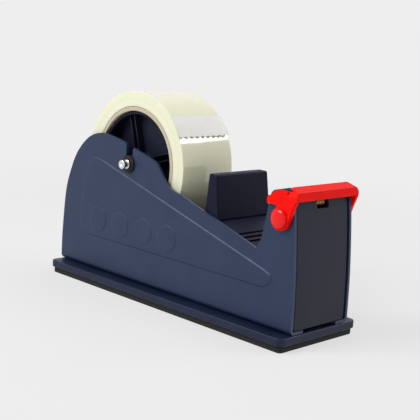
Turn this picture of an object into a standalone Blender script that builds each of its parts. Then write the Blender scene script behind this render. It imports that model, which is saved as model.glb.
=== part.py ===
"""Bench tape dispenser: steel side plates, a drop-in reel and a hinged blade guard.

+X points to the cutting end, +Y to the far side plate and +Z up. The origin is at the
middle of the rubber mat's underside. Lengths are in metres, written as millimetres times MM.
"""
import math

import bmesh
import bpy
from mathutils import Matrix, Vector

MM = 0.001

# Clearances
SEAT_GAP = 0.3 * MM
OVERRUN = 3.0 * MM
SLIVER = 0.03 * MM

# Body
BODY_LENGTH = 237.0 * MM
BODY_HEIGHT = 104.0 * MM
BODY_WIDTH = 57.2 * MM
PLATE_THICKNESS = 2.0 * MM
BEND_RADIUS = 3.5 * MM
FLANGE_WIDTH = 12.0 * MM
EMBOSS_HEIGHT = 0.7 * MM
EMBOSS_CORNER = 9.0 * MM
EMBOSS_TIP_CORNER = 6.0 * MM
DISC_RADIUS = 9.8 * MM
DISC_HEIGHT = 0.4 * MM
CORNER_RADIUS = 5.0 * MM
V_RADIUS = 2.0 * MM
SLOT_MOUTH_RADIUS = 3.0 * MM
TOP_CORNER_RADIUS = 1.0 * MM

# Base
BASE_THICKNESS = 5.4 * MM
BASE_END_MARGIN = 0.9 * MM
BASE_SIDE_MARGIN = 9.7 * MM
BASE_CORNER_RADIUS = 4.5 * MM
BASE_EDGE_BEVEL = 0.8 * MM
MAT_THICKNESS = 4.0 * MM
MAT_INSET = 1.6 * MM

# Folded panels
PANEL_THICKNESS = 1.5 * MM
PANEL_BEND_RADIUS = 2.0 * MM
PANEL_RETURN = 13.0 * MM
PANEL_SETBACK = 0.6 * MM
PANEL_FOOT_LIFT = 0.3 * MM
NOTCH_WIDTH = 12.0 * MM
NOTCH_DEPTH = 6.0 * MM
NOTCH_CORNER = 1.6 * MM

# Reel
TAPE_WIDTH = 48.0 * MM
CORE_BORE_RADIUS = 38.1 * MM
CORE_WALL = 2.9 * MM
TAPE_BUILD = 10.8 * MM
HUB_RIM_WALL = 2.3 * MM
HUB_INSET = 2.0 * MM
HUB_WEB_THICKNESS = 2.0 * MM
HUB_WEB_DEPTH = 8.0 * MM
HUB_BOSS_RADIUS = 8.0 * MM
HUB_BOSS_INSET = 4.0 * MM
HUB_RIB_THICKNESS = 1.8 * MM
HUB_RIB_COUNT = 4
HUB_RIB_TURN = math.radians(16.5)
TAPE_END_START = math.radians(46.5)
TAPE_END_STOP = math.radians(27.0)
TAPE_END_THICKNESS = 0.4 * MM
TAPE_END_LIFT = 0.9 * MM
TAPE_END_CURL = 1.9 * MM
TAPE_TOOTH_DEPTH = 1.3 * MM
TAPE_TOOTH_COUNT = 9

# Axle
AXLE_RADIUS = 2.3 * MM
AXLE_TENON_RADIUS = 1.2 * MM
RUNNING_GAP = 0.3 * MM
BUSH_WALL = 0.7 * MM
BUSH_FLANGE_RADIUS = 6.3 * MM
BUSH_FLANGE_THICKNESS = 1.1 * MM
BUSH_NOSE_RADIUS = 5.0 * MM
KNOB_RADIUS = 3.3 * MM
KNOB_NECK_RADIUS = 2.2 * MM
KNOB_COLLAR = 1.1 * MM
KNOB_NECK = 2.2 * MM
KNOB_HEAD = 2.3 * MM
KNOB_DIMPLE_RADIUS = 1.1 * MM
KNOB_DIMPLE_DEPTH = 0.7 * MM
KNOB_CHAMFER = 0.5 * MM

# Guard
GUARD_PIVOT_RADIUS = 2.0 * MM
GUARD_ARM_THICKNESS = 2.2 * MM
GUARD_ARM_GAP = 0.35 * MM
GUARD_DISC_RADIUS = 7.4 * MM
GUARD_END_CHAMFER_SIDE = 4.3 * MM
GUARD_END_CHAMFER_DROP = 5.3 * MM
GUARD_EDGE_BEVEL = 0.5 * MM
LEDGE_WIDTH = 4.0 * MM
LEDGE_DEPTH = 2.6 * MM
LEDGE_HEIGHT = 2.0 * MM
CAP_RADIUS = 6.1 * MM
CAP_RIM = 1.0 * MM
CAP_DOME = 1.9 * MM
CAP_BORE_DEPTH = 1.6 * MM

# Guard spring
SPRING_WIRE_RADIUS = 0.55 * MM
SPRING_COIL_RADIUS = 3.0 * MM
SPRING_PITCH = 1.7 * MM
SPRING_TURNS = 6
SPRING_POINTS_PER_TURN = 9
SPRING_START = -6.0 * MM
SPRING_DOWN_LEG = 8.0 * MM
SPRING_FRONT_LEG = 7.6 * MM
SPRING_ROD_RADIUS = 1.5 * MM
SPRING_LEG_SHARES = (0.3, 0.6, 1.0)

# Blade
BLADE_THICKNESS = 0.8 * MM
BLADE_END_GAP = 1.2 * MM
BLADE_PITCH = 2.0 * MM
BLADE_TOOTH_DEPTH = 1.6 * MM
BLADE_HEIGHT = 5.2 * MM
BLADE_SCREW_SPACING = 34.0 * MM
BLADE_SCREW_RISE = 2.0 * MM
BLADE_SCREW_RADIUS = 1.0 * MM
BLADE_SCREW_HEAD_RADIUS = 1.7 * MM
BLADE_SCREW_HEAD = 0.9 * MM
BLADE_NUT_RADIUS = 1.9 * MM
BLADE_NUT_HEIGHT = 1.6 * MM

# Ramp insert and guide block
RAMP_WALL = 2.5 * MM
RAMP_SLOT_WIDTH = 2.0 * MM
RAMP_SLOT_PITCH = 4.9 * MM
RAMP_SLOT_DEPTH = 1.6 * MM
RAMP_SLOT_COUNT = 3
RAMP_SLOT_START = 34.0 * MM
BLOCK_SIDE_GAP = 0.6 * MM
BLOCK_DRAFT = 1.1 * MM
BLOCK_WALL = 2.4 * MM
BLOCK_EDGE_BEVEL = 1.0 * MM
BLOCK_BOSS_RADIUS = 3.4 * MM
BLOCK_BOSS_HEIGHT = 9.0 * MM
BLOCK_SCREW_SPACING = 30.0 * MM
BLOCK_SCREW_RADIUS = 1.4 * MM
BLOCK_SCREW_HEAD_RADIUS = 2.8 * MM
BLOCK_SCREW_HEAD = 1.6 * MM
BLOCK_SCREW_LENGTH = 8.0 * MM

# Ballast and its fasteners
BALLAST_REAR_GAP = 7.9 * MM
BALLAST_FRONT_GAP = 10.0 * MM
BALLAST_SIDE_GAP = 2.0 * MM
BALLAST_EDGE_BEVEL = 2.0 * MM
ROLL_CLEARANCE = 5.0 * MM
BALLAST_BOLT_RADIUS = 3.0 * MM
BALLAST_BOLT_HEAD_RADIUS = 5.0 * MM
BALLAST_BOLT_HEAD = 4.0 * MM
BALLAST_BOLT_WELL = 6.5 * MM
BALLAST_BOLT_REAR_INSET = 11.0 * MM
BALLAST_BOLT_FRONT_INSET = 27.0 * MM
FLANGE_SCREW_RADIUS = 2.0 * MM
FLANGE_SCREW_HEAD_RADIUS = 3.0 * MM
FLANGE_SCREW_HEAD = 1.8 * MM
FLANGE_SCREW_EDGE = 8.6 * MM
SCREW_POINT_LIFT = 0.6 * MM
HEAD_CROWN_SHARE = 0.55
HEAD_SHOULDER_SHARE = 0.45

# Largest share of an outline's edge that a rounded corner takes up
FILLET_REACH_SHARE = 0.48

# Facets on round pieces
REEL_SEGMENTS = 56
HUB_SEGMENTS = 36
KNOB_SEGMENTS = 18
PIN_SEGMENTS = 16
SCREW_SEGMENTS = 12
DISC_SEGMENTS = 18
BEND_STEPS = 4
CURVE_STEPS = 3

# Places along the side profile, as shares of the body's length from the rear
# and of its height above the plates' foot
AXLE_SHARES = (0.3215, 0.8173)
PIVOT_SHARES = (0.9422, 0.6933)
SPRING_ROD_SHARES = (0.9515, 0.7779)
HUMP_SHARES = (
    (0.0013, 0.2115), (0.0118, 0.5058), (0.0325, 0.6731), (0.0667, 0.8288),
    (0.1215, 0.9490), (0.1814, 0.9962), (0.2426, 0.9885),
)
MOUTH_REAR_SHARE = 0.9590
MOUTH_FRONT_SHARE = 0.9420
BUMP_SHARES = (
    (0.3586, 0.9221), (0.4219, 0.8837), (0.4506, 0.8529), (0.4747, 0.7846),
    (0.5000, 0.7240), (0.5308, 0.6990), (0.5591, 0.6856),
)
V_SHARES = (0.8570, 0.4750)
STEEP_SHARES = ((0.8738, 0.5423), (0.8857, 0.6788), (0.8916, 0.7577))
TOWER_CORNER_SHARES = (0.8985, 0.8480)
TOWER_TOP_SHARES = (0.9595, 0.8837)
FRONT_SHARES = (
    (0.9679, 0.8462), (0.9743, 0.8058), (0.9802, 0.7452), (0.9878, 0.5865),
    (0.9949, 0.3846), (0.9983, 0.2212), (1.0000, 0.0337),
)
EMBOSS_SHARES = (
    (0.0886, 0.2404), (0.1055, 0.6635), (0.1371, 0.8221), (0.1920, 0.8135),
    (0.8861, 0.3683), (0.9346, 0.3269), (0.9008, 0.2404),
)
DISC_SHARES = ((0.1882, 0.3760), (0.2954, 0.3760), (0.4021, 0.3760), (0.5093, 0.3760))
ARM_SHARES = (
    (0.9274, 0.7558), (0.9270, 0.7692), (0.9093, 0.7731), (0.8941, 0.7721),
    (0.8937, 0.8038), (0.8979, 0.8202), (0.9063, 0.8250), (0.9173, 0.8510),
    (0.9262, 0.8596), (0.9367, 0.8644), (0.9494, 0.8649), (0.9608, 0.8615),
    (0.9620, 0.8750), (0.9646, 0.8875), (0.9924, 0.8606), (0.9937, 0.8087),
    (0.9857, 0.7606),
)
ARM_DISC_FROM = math.radians(-29.0)
ARM_DISC_TO = math.radians(-213.0)
HOOD_INSIDE_SHARES = ((0.9629, 0.8731), (0.9861, 0.8500), (0.9861, 0.8087))
BLOCK_SHARES = ((0.6443, 0.6115), (0.6494, 0.8625), (0.6814, 0.8606), (0.6992, 0.5740))
RAMP_TOP_SHARES = ((0.6308, 0.6144), (0.8641, 0.4548))
LANDING_SHARES = (
    (0.8830, 0.4700), (0.8924, 0.6250), (0.9000, 0.7500), (0.9064, 0.8317),
    (0.9219, 0.8615), (0.9532, 0.8788), (0.9586, 0.8690), (0.9586, 0.8192),
)
LANDING_CORNERS = (0.0, 20.0 * MM, 20.0 * MM, 3.5 * MM, 3.5 * MM, 1.2 * MM, 1.2 * MM, 0.0)
PANEL_TOP_SHARE = 0.8038
REAR_PANEL_TOP_SHARE = 0.4900
BLADE_FOOT_SHARE = 0.8173
FLANGE_SCREW_SHARES = (0.0450, 0.6750, 0.9200)

# Heights and half widths that several pieces share
BASE_FOOT = MAT_THICKNESS + SEAT_GAP
BASE_TOP = BASE_FOOT + BASE_THICKNESS
PLATE_FOOT = BASE_TOP + SEAT_GAP
FLANGE_TOP = PLATE_FOOT + PLATE_THICKNESS
FLOOR_TOP = FLANGE_TOP + SEAT_GAP
HALF_WIDTH = BODY_WIDTH / 2
INNER_HALF = HALF_WIDTH - PLATE_THICKNESS
PANEL_HALF = INNER_HALF - SEAT_GAP
BLOCK_HALF = INNER_HALF - BLOCK_SIDE_GAP
ARM_INNER = HALF_WIDTH + GUARD_ARM_GAP
ARM_OUTER = ARM_INNER + GUARD_ARM_THICKNESS
HALF_TAPE = TAPE_WIDTH / 2
CORE_RADIUS = CORE_BORE_RADIUS + CORE_WALL
ROLL_RADIUS = CORE_RADIUS + TAPE_BUILD
AXLE_BORE_RADIUS = AXLE_RADIUS + RUNNING_GAP
BARREL_RADIUS = AXLE_BORE_RADIUS + BUSH_WALL
SLOT_HALF = BARREL_RADIUS + SEAT_GAP
HUB_RADIUS = CORE_BORE_RADIUS - SEAT_GAP
BOSS_FACE = HALF_TAPE - HUB_BOSS_INSET
PIVOT_HOLE_RADIUS = GUARD_PIVOT_RADIUS + SEAT_GAP
SPRING_ROD_HOLE_RADIUS = SPRING_ROD_RADIUS + SEAT_GAP
SPRING_ROD_HALF = HALF_WIDTH - SEAT_GAP
BUSH_FACE = HALF_WIDTH + SEAT_GAP + BUSH_FLANGE_THICKNESS
KNOB_START = BUSH_FACE + SEAT_GAP
CAP_START = ARM_OUTER + SEAT_GAP


def profile_point(shares):
    """Place in the side profile (X, Z) that a pair of shares names."""
    x = (shares[0] - 1 / 2) * BODY_LENGTH
    z = PLATE_FOOT + shares[1] * BODY_HEIGHT
    return Vector((x, z))


def profile_points(table):
    return [profile_point(shares) for shares in table]


AXLE = profile_point(AXLE_SHARES)
PIVOT = profile_point(PIVOT_SHARES)
SPRING_ROD = profile_point(SPRING_ROD_SHARES)


def clear_scene():
    for obj in list(bpy.data.objects):
        bpy.data.objects.remove(obj, do_unlink=True)


def collection(name):
    group = bpy.data.collections.new(name)
    bpy.context.scene.collection.children.link(group)
    return group


clear_scene()
PARTS = collection("bench_tape_dispenser")
CUTTERS = collection("cutters")


def linear(channel):
    if channel <= 0.04045:
        return channel / 12.92
    return ((channel + 0.055) / 1.055) ** 2.4


def finish(obj, colour, roughness, metallic=0.0):
    """Gives the piece its own Principled material, from an sRGB hex colour."""
    material = bpy.data.materials.new(obj.name + "_finish")
    material.use_nodes = True
    shader = material.node_tree.nodes["Principled BSDF"]
    channels = [linear(int(colour[i:i + 2], 16) / 255) for i in (0, 2, 4)]
    shader.inputs["Base Color"].default_value = (*channels, 1)
    shader.inputs["Roughness"].default_value = roughness
    shader.inputs["Metallic"].default_value = metallic
    obj.data.materials.clear()
    obj.data.materials.append(material)
    return obj


def steel(fasteners):
    """Plain zinced steel on pieces that share one mesh."""
    finish(fasteners[0], "8d9096", 0.35, 1.0)


def link(name, data, group=PARTS):
    obj = bpy.data.objects.new(name, data)
    group.objects.link(obj)
    if group is CUTTERS:
        obj.hide_render = True
        obj.display_type = "WIRE"
    return obj


def evaluated_mesh(obj):
    bpy.context.view_layer.update()
    graph = bpy.context.evaluated_depsgraph_get()
    return bpy.data.meshes.new_from_object(obj.evaluated_get(graph))


def to_mesh(obj):
    """Replaces a curve or a modified object by its closed mesh, with its caps welded."""
    name = obj.name
    group = obj.users_collection[0]
    mesh = evaluated_mesh(obj)
    mesh.transform(obj.matrix_world)
    bpy.data.objects.remove(obj, do_unlink=True)
    bm = bmesh.new()
    bm.from_mesh(mesh)
    bmesh.ops.remove_doubles(bm, verts=bm.verts, dist=SEAT_GAP / 30)
    bmesh.ops.recalc_face_normals(bm, faces=bm.faces)
    bm.to_mesh(mesh)
    bm.free()
    mesh.materials.clear()
    return link(name, mesh, group)


def combine(obj, tool, operation):
    """Adds a Boolean with a tool, which becomes a hidden cutter."""
    if tool.name not in CUTTERS.objects:
        for group in list(tool.users_collection):
            group.objects.unlink(tool)
        CUTTERS.objects.link(tool)
    tool.hide_render = True
    tool.display_type = "WIRE"
    step = obj.modifiers.new(operation.lower() + "_" + tool.name, "BOOLEAN")
    step.operation = operation
    step.object = tool
    step.solver = "EXACT"
    return obj


def cut(obj, tool):
    return combine(obj, tool, "DIFFERENCE")


def join(obj, tool):
    return combine(obj, tool, "UNION")


def bevel(obj, width, segments=2, angle=math.radians(35)):
    step = obj.modifiers.new("edge_round", "BEVEL")
    step.width = width
    step.segments = segments
    step.limit_method = "ANGLE"
    step.angle_limit = angle
    return obj


def smooth(points, steps=CURVE_STEPS):
    """Catmull-Rom curve through the points."""
    padded = [points[0] * 2 - points[1], *points, points[-1] * 2 - points[-2]]
    found = []
    for p0, p1, p2, p3 in zip(padded, padded[1:], padded[2:], padded[3:]):
        for step in range(steps):
            t = step / steps
            second = p0 * 2 - p1 * 5 + p2 * 4 - p3
            third = p1 * 3 - p0 - p2 * 3 + p3
            found.append((p1 * 2 + (p2 - p0) * t + second * t ** 2 + third * t ** 3) / 2)
    found.append(points[-1].copy())
    return found


def arc(centre, radius, start, stop, steps):
    """Points along an arc, both ends included."""
    found = []
    for step in range(steps + 1):
        angle = start + (stop - start) * step / steps
        found.append(centre + Vector((math.cos(angle), math.sin(angle))) * radius)
    return found


def circle(centre, radius, segments):
    return arc(centre, radius, 0, 2 * math.pi, segments)[:-1]


def fillet(before, corner, after, radius, steps=BEND_STEPS):
    """Points of the arc that rounds one corner of an outline."""
    if radius <= 0:
        return [corner.copy()]
    to_before = (before - corner).normalized()
    to_after = (after - corner).normalized()
    half = to_before.angle(to_after) / 2
    reach = radius / math.tan(half)
    shorter = min((before - corner).length, (after - corner).length)
    reach = min(reach, shorter * FILLET_REACH_SHARE)
    first = corner + to_before * reach
    last = corner + to_after * reach
    true_radius = reach * math.tan(half)
    centre = corner + (to_before + to_after).normalized() * (true_radius / math.sin(half))
    start = (first - centre).normalized()
    turn = start.angle_signed((last - centre).normalized())
    found = []
    for step in range(steps + 1):
        spoke = start.copy()
        spoke.rotate(Matrix.Rotation(-turn * step / steps, 2))
        found.append(centre + spoke * true_radius)
    return found


def rounded(points, radii, closed=True):
    """Outline with each corner rounded by its own radius."""
    found = []
    last = len(points) - 1
    for index, corner in enumerate(points):
        if not closed and index in (0, last):
            found.append(corner.copy())
            continue
        before = points[index - 1]
        after = points[(index + 1) % len(points)]
        found.extend(fillet(before, corner, after, radii[index]))
    return found


def flat_solid(name, loops, thickness, group=PARTS):
    """Filled 2D curve, extruded to its thickness about its own plane."""
    curve = bpy.data.curves.new(name, "CURVE")
    curve.dimensions = "2D"
    curve.fill_mode = "BOTH"
    curve.extrude = thickness / 2
    for loop in loops:
        spline = curve.splines.new("POLY")
        spline.points.add(len(loop) - 1)
        spline.use_cyclic_u = True
        for point, place in zip(spline.points, loop):
            point.co = (place[0], place[1], 0, 1)
    return link(name, curve, group)


def profile_solid(name, loops, y_from, y_to, group=PARTS):
    """Solid with an outline in the side profile, between two Y places."""
    obj = flat_solid(name, loops, abs(y_to - y_from), group)
    obj.rotation_euler = (math.radians(90), 0, 0)
    obj.location = (0, (y_from + y_to) / 2, 0)
    return to_mesh(obj)


def plan_solid(name, loops, z_from, z_to, group=PARTS):
    """Solid with an outline seen from above, between two heights."""
    obj = flat_solid(name, loops, z_to - z_from, group)
    obj.location = (0, 0, (z_from + z_to) / 2)
    return to_mesh(obj)


def block(name, low, high, group=CUTTERS):
    """Plain box between two corners."""
    size = Vector(high) - Vector(low)
    middle = (Vector(high) + Vector(low)) / 2
    bm = bmesh.new()
    bmesh.ops.create_cube(bm, size=1)
    bmesh.ops.scale(bm, verts=bm.verts, vec=size)
    bmesh.ops.translate(bm, verts=bm.verts, vec=middle)
    mesh = bpy.data.meshes.new(name)
    bm.to_mesh(mesh)
    bm.free()
    return link(name, mesh, group)


def box_outline(x_from, x_to, z_from, z_to):
    return [
        Vector((x_from, z_from)),
        Vector((x_to, z_from)),
        Vector((x_to, z_to)),
        Vector((x_from, z_to)),
    ]


TURNS = {
    "X": (0, math.radians(90), 0),
    "Y": (math.radians(-90), 0, 0),
    "-Y": (math.radians(90), 0, 0),
    "Z": (0, 0, 0),
}


def turned(name, profile, segments, place, axis, closed=False, group=PARTS):
    """Profile of (radius, height) pairs turned about an axis, from the top down its outside."""
    mesh = bpy.data.meshes.new(name)
    bm = bmesh.new()
    verts = [bm.verts.new((radius, 0, height)) for radius, height in profile]
    pairs = list(zip(verts, verts[1:]))
    if closed:
        pairs.append((verts[-1], verts[0]))
    for pair in pairs:
        bm.edges.new(pair)
    bm.to_mesh(mesh)
    bm.free()
    obj = link(name, mesh, group)
    obj.location = place
    obj.rotation_euler = TURNS[axis]
    screw = obj.modifiers.new("turn", "SCREW")
    screw.steps = segments
    screw.render_steps = segments
    screw.use_merge_vertices = True
    screw.merge_threshold = SEAT_GAP / 30
    screw.use_smooth_shade = False
    return obj


def pin(name, radius, start, stop, segments, place, axis, group=CUTTERS):
    """Plain round bar between two distances along its axis."""
    profile = [(0, stop), (radius, stop), (radius, start), (0, start)]
    return turned(name, profile, segments, place, axis, group=group)


def solid_mesh(source):
    """The source's closed mesh in its own place. The source itself is removed."""
    mesh = evaluated_mesh(source)
    mesh.transform(source.matrix_world)
    mesh.materials.clear()
    bpy.data.objects.remove(source, do_unlink=True)
    return mesh


def repeated(name, source, places):
    """One object for each place, all sharing the source's mesh."""
    mesh = solid_mesh(source)
    found = []
    for number, place in enumerate(places, 1):
        obj = link(name + "_" + str(number), mesh)
        obj.location = place
        found.append(obj)
    return found


def mirrored_name(side):
    return "left" if side < 0 else "right"


def screw_profile(shank, length, head, head_height):
    """Pan head at the top, shank below it, with its seat at height 0."""
    crown = head * HEAD_CROWN_SHARE
    shoulder = head_height * HEAD_SHOULDER_SHARE
    return [
        (0, head_height),
        (crown, head_height),
        (head, shoulder),
        (head, 0),
        (shank, 0),
        (shank, -length),
        (0, -length),
    ]


# Side plates

def slot_outline():
    """Mouth, straight walls and round seat of the axle slot, from rear to front."""
    rear = AXLE.x - SLOT_HALF
    front = AXLE.x + SLOT_HALF
    rear_lip = Vector((rear, profile_point((0, MOUTH_REAR_SHARE)).y))
    front_lip = Vector((front, profile_point((0, MOUTH_FRONT_SHARE)).y))
    rear_wall = Vector((rear, AXLE.y))
    front_wall = Vector((front, AXLE.y))
    hump_end = profile_point(HUMP_SHARES[-1])
    bump_start = profile_point(BUMP_SHARES[0])
    seat = arc(AXLE, SLOT_HALF, math.radians(180), math.radians(360), 2 * BEND_STEPS)
    return [
        *fillet(hump_end, rear_lip, rear_wall, SLOT_MOUTH_RADIUS),
        *seat,
        *fillet(front_wall, front_lip, bump_start, SLOT_MOUTH_RADIUS),
    ]


def front_edge():
    return smooth(profile_points(FRONT_SHARES))


def side_outline():
    """Flat part of a side plate, from the rear foot over the top to the front foot."""
    bend_top = PLATE_FOOT + BEND_RADIUS
    rear_foot = Vector((-BODY_LENGTH / 2, bend_top))
    front_foot = Vector((BODY_LENGTH / 2, bend_top))
    hump = smooth([rear_foot, *profile_points(HUMP_SHARES)])
    bump = smooth(profile_points(BUMP_SHARES))
    steep = smooth([profile_point(V_SHARES), *profile_points(STEEP_SHARES)])
    front = front_edge()
    valley = profile_point(V_SHARES)
    corner = profile_point(TOWER_CORNER_SHARES)
    top = profile_point(TOWER_TOP_SHARES)
    front[-1] = front_foot
    return [
        *hump,
        *slot_outline(),
        *bump,
        *fillet(bump[-1], valley, steep[1], V_RADIUS),
        *steep[2:],
        *fillet(steep[-1], corner, top, CORNER_RADIUS),
        *fillet(corner, top, front[0], TOP_CORNER_RADIUS),
        *front,
    ]


def emboss_outline():
    points = profile_points(EMBOSS_SHARES)
    radii = [EMBOSS_CORNER] * len(points)
    radii[-2] = EMBOSS_TIP_CORNER
    return rounded(points, radii)


def emboss_solid(name, side, y_from, y_to, loops):
    return profile_solid(name, loops, side * y_from, side * y_to, CUTTERS)


def side_plate(side):
    """Pressed plate with an inward flange along its foot, a raised field and four discs."""
    name = mirrored_name(side) + "_side_plate"
    bm = bmesh.new()
    verts = [bm.verts.new((p.x, side * HALF_WIDTH, p.y)) for p in side_outline()]
    edges = [bm.edges.new(pair) for pair in zip(verts, verts[1:] + verts[:1])]
    bmesh.ops.contextual_create(bm, geom=edges)
    foot = edges[-1]
    bend = bmesh.ops.spin(
        bm,
        geom=[foot, *foot.verts],
        cent=(0, side * (HALF_WIDTH - BEND_RADIUS), PLATE_FOOT + BEND_RADIUS),
        axis=(1, 0, 0),
        angle=-side * math.radians(90),
        steps=BEND_STEPS,
        use_duplicate=False,
    )
    last = [item for item in bend["geom_last"] if isinstance(item, bmesh.types.BMEdge)]
    flange = bmesh.ops.extrude_edge_only(bm, edges=last)
    moved = [item for item in flange["geom"] if isinstance(item, bmesh.types.BMVert)]
    bmesh.ops.translate(bm, verts=moved, vec=(0, -side * (FLANGE_WIDTH - BEND_RADIUS), 0))
    bmesh.ops.recalc_face_normals(bm, faces=bm.faces)
    wall = max(bm.faces, key=lambda face: face.calc_area())
    if wall.normal.y * side < 0:
        bmesh.ops.reverse_faces(bm, faces=bm.faces)
    mesh = bpy.data.meshes.new(name)
    bm.to_mesh(mesh)
    bm.free()
    obj = link(name, mesh)
    sheet = obj.modifiers.new("sheet", "SOLIDIFY")
    sheet.thickness = PLATE_THICKNESS
    sheet.offset = -1
    sheet.use_even_offset = True

    field = [emboss_outline()]
    discs = [
        circle(profile_point(shares), DISC_RADIUS, DISC_SEGMENTS)
        for shares in DISC_SHARES
    ]
    middle = HALF_WIDTH - PLATE_THICKNESS / 2
    raised = HALF_WIDTH + EMBOSS_HEIGHT
    hollow = INNER_HALF + EMBOSS_HEIGHT
    join(obj, emboss_solid(name + "_field", side, middle, raised, field))
    join(obj, emboss_solid(name + "_discs", side, middle, raised + DISC_HEIGHT, discs))
    past = INNER_HALF - OVERRUN
    cut(obj, emboss_solid(name + "_field_hollow", side, past, hollow, field))
    cut(obj, emboss_solid(name + "_disc_hollows", side, past, hollow + DISC_HEIGHT, discs))
    cut(obj, PIVOT_HOLE)
    cut(obj, SPRING_ROD_HOLE)
    cut(obj, FLANGE_HOLES)
    slivers = obj.modifiers.new("slivers", "WELD")
    slivers.merge_threshold = SLIVER
    return finish(obj, "3b455e", 0.45)


# Base

def rounded_plan(half_x, half_y, radius):
    return rounded(box_outline(-half_x, half_x, -half_y, half_y), [radius] * 4)


def base_plate():
    half_x = BODY_LENGTH / 2 + BASE_END_MARGIN
    half_y = HALF_WIDTH + BASE_SIDE_MARGIN
    outline = rounded_plan(half_x, half_y, BASE_CORNER_RADIUS)
    obj = plan_solid("base_plate", [outline], BASE_FOOT, BASE_TOP)
    bevel(obj, BASE_EDGE_BEVEL, segments=1, angle=math.radians(60))
    cut(obj, FLANGE_HOLES)
    cut(obj, BALLAST_HOLES)
    return finish(obj, "2c3650", 0.45)


def rubber_mat():
    half_x = BODY_LENGTH / 2 + BASE_END_MARGIN - MAT_INSET
    half_y = HALF_WIDTH + BASE_SIDE_MARGIN - MAT_INSET
    outline = rounded_plan(half_x, half_y, BASE_CORNER_RADIUS - MAT_INSET)
    obj = plan_solid("rubber_mat", [outline], 0, MAT_THICKNESS)
    return finish(obj, "151515", 0.9)


# Folded panels

def channel_outline(direction):
    """Seen from above: face, two bends and two returns, with the face at X = 0."""
    flat = PANEL_HALF - PANEL_BEND_RADIUS
    inner_bend = PANEL_BEND_RADIUS - PANEL_THICKNESS
    half = [Vector((0, 0))]
    half += arc(
        Vector((-PANEL_BEND_RADIUS, flat)), PANEL_BEND_RADIUS, 0, math.radians(90), BEND_STEPS
    )
    half.append(Vector((-PANEL_RETURN, PANEL_HALF)))
    half.append(Vector((-PANEL_RETURN, PANEL_HALF - PANEL_THICKNESS)))
    half += arc(
        Vector((-PANEL_BEND_RADIUS, flat)), inner_bend, math.radians(90), 0, BEND_STEPS
    )
    half.append(Vector((-PANEL_THICKNESS, 0)))
    far = [Vector((p.x, -p.y)) for p in reversed(half[1:-1])]
    return [Vector((p.x * direction, p.y)) for p in half + far]


def channel_panel(name, direction, path):
    """Channel section swept up a curved edge, given as (X, Z) places of its face."""
    bm = bmesh.new()
    start = path[0]
    verts = [bm.verts.new((p.x + start.x, p.y, start.y)) for p in channel_outline(direction)]
    section = [bm.edges.new(pair) for pair in zip(verts, verts[1:] + verts[:1])]
    bmesh.ops.contextual_create(bm, geom=section)
    for here, there in zip(path, path[1:]):
        grown = bmesh.ops.extrude_edge_only(bm, edges=section)
        moved = [item for item in grown["geom"] if isinstance(item, bmesh.types.BMVert)]
        section = [item for item in grown["geom"] if isinstance(item, bmesh.types.BMEdge)]
        bmesh.ops.translate(bm, verts=moved, vec=(there.x - here.x, 0, there.y - here.y))
    bmesh.ops.contextual_create(bm, geom=section)
    bmesh.ops.recalc_face_normals(bm, faces=bm.faces)
    mesh = bpy.data.meshes.new(name)
    bm.to_mesh(mesh)
    bm.free()
    return link(name, mesh)


def bend_relief(side):
    """Cutter that follows the inside of a side plate's bend along the whole body."""
    inner_radius = BEND_RADIUS - PLATE_THICKNESS
    low = side * (INNER_HALF - inner_radius - 2 * SEAT_GAP)
    high = side * (INNER_HALF + OVERRUN)
    return block(
        mirrored_name(side) + "_bend_relief",
        (-BODY_LENGTH, min(low, high), 0),
        (BODY_LENGTH, max(low, high), PLATE_FOOT + BEND_RADIUS + SEAT_GAP),
    )


def clear_bends(obj):
    for relief in BEND_RELIEFS:
        cut(obj, relief)
    return obj


def edge_place(edge, height):
    """X of an edge curve at a height."""
    ordered = sorted(edge, key=lambda p: p.y)
    for low, high in zip(ordered, ordered[1:]):
        if low.y <= height <= high.y and high.y > low.y:
            share = (height - low.y) / (high.y - low.y)
            return low.x + (high.x - low.x) * share
    return ordered[0].x if height < ordered[0].y else ordered[-1].x


def panel_path(edge, setback, foot, top, steps):
    found = []
    for step in range(steps + 1):
        height = foot + (top - foot) * step / steps
        found.append(Vector((edge_place(edge, height) - setback, height)))
    return found


def front_panel():
    foot = FLANGE_TOP + PANEL_FOOT_LIFT
    top = profile_point((1, PANEL_TOP_SHARE)).y
    path = panel_path(front_edge(), PANEL_SETBACK, foot, top, 2 * BEND_STEPS)
    obj = channel_panel("front_panel", 1, path)
    notch = rounded(
        [
            Vector((-NOTCH_WIDTH / 2, top + OVERRUN)),
            Vector((-NOTCH_WIDTH / 2, top - NOTCH_DEPTH)),
            Vector((NOTCH_WIDTH / 2, top - NOTCH_DEPTH)),
            Vector((NOTCH_WIDTH / 2, top + OVERRUN)),
        ],
        [0, NOTCH_CORNER, NOTCH_CORNER, 0],
    )
    tool = flat_solid("front_panel_notch", [notch], 2 * PANEL_RETURN, CUTTERS)
    tool.rotation_euler = (math.radians(90), 0, math.radians(90))
    tool.location = (path[-1].x, 0, 0)
    cut(obj, to_mesh(tool))
    cut(obj, PIVOT_HOLE)
    cut(obj, SPRING_ROD_HOLE)
    clear_bends(obj)
    return finish(obj, "2a2c3c", 0.4)


def rear_panel():
    foot = FLANGE_TOP + PANEL_FOOT_LIFT
    top = profile_point((0, REAR_PANEL_TOP_SHARE)).y
    rear_foot = Vector((-BODY_LENGTH / 2, PLATE_FOOT))
    edge = smooth([rear_foot, *profile_points(HUMP_SHARES[:4])])
    path = panel_path(edge, -PANEL_SETBACK, foot, top, 2 * BEND_STEPS)
    obj = clear_bends(channel_panel("rear_panel", -1, path))
    return finish(obj, "3b455e", 0.45)


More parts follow.
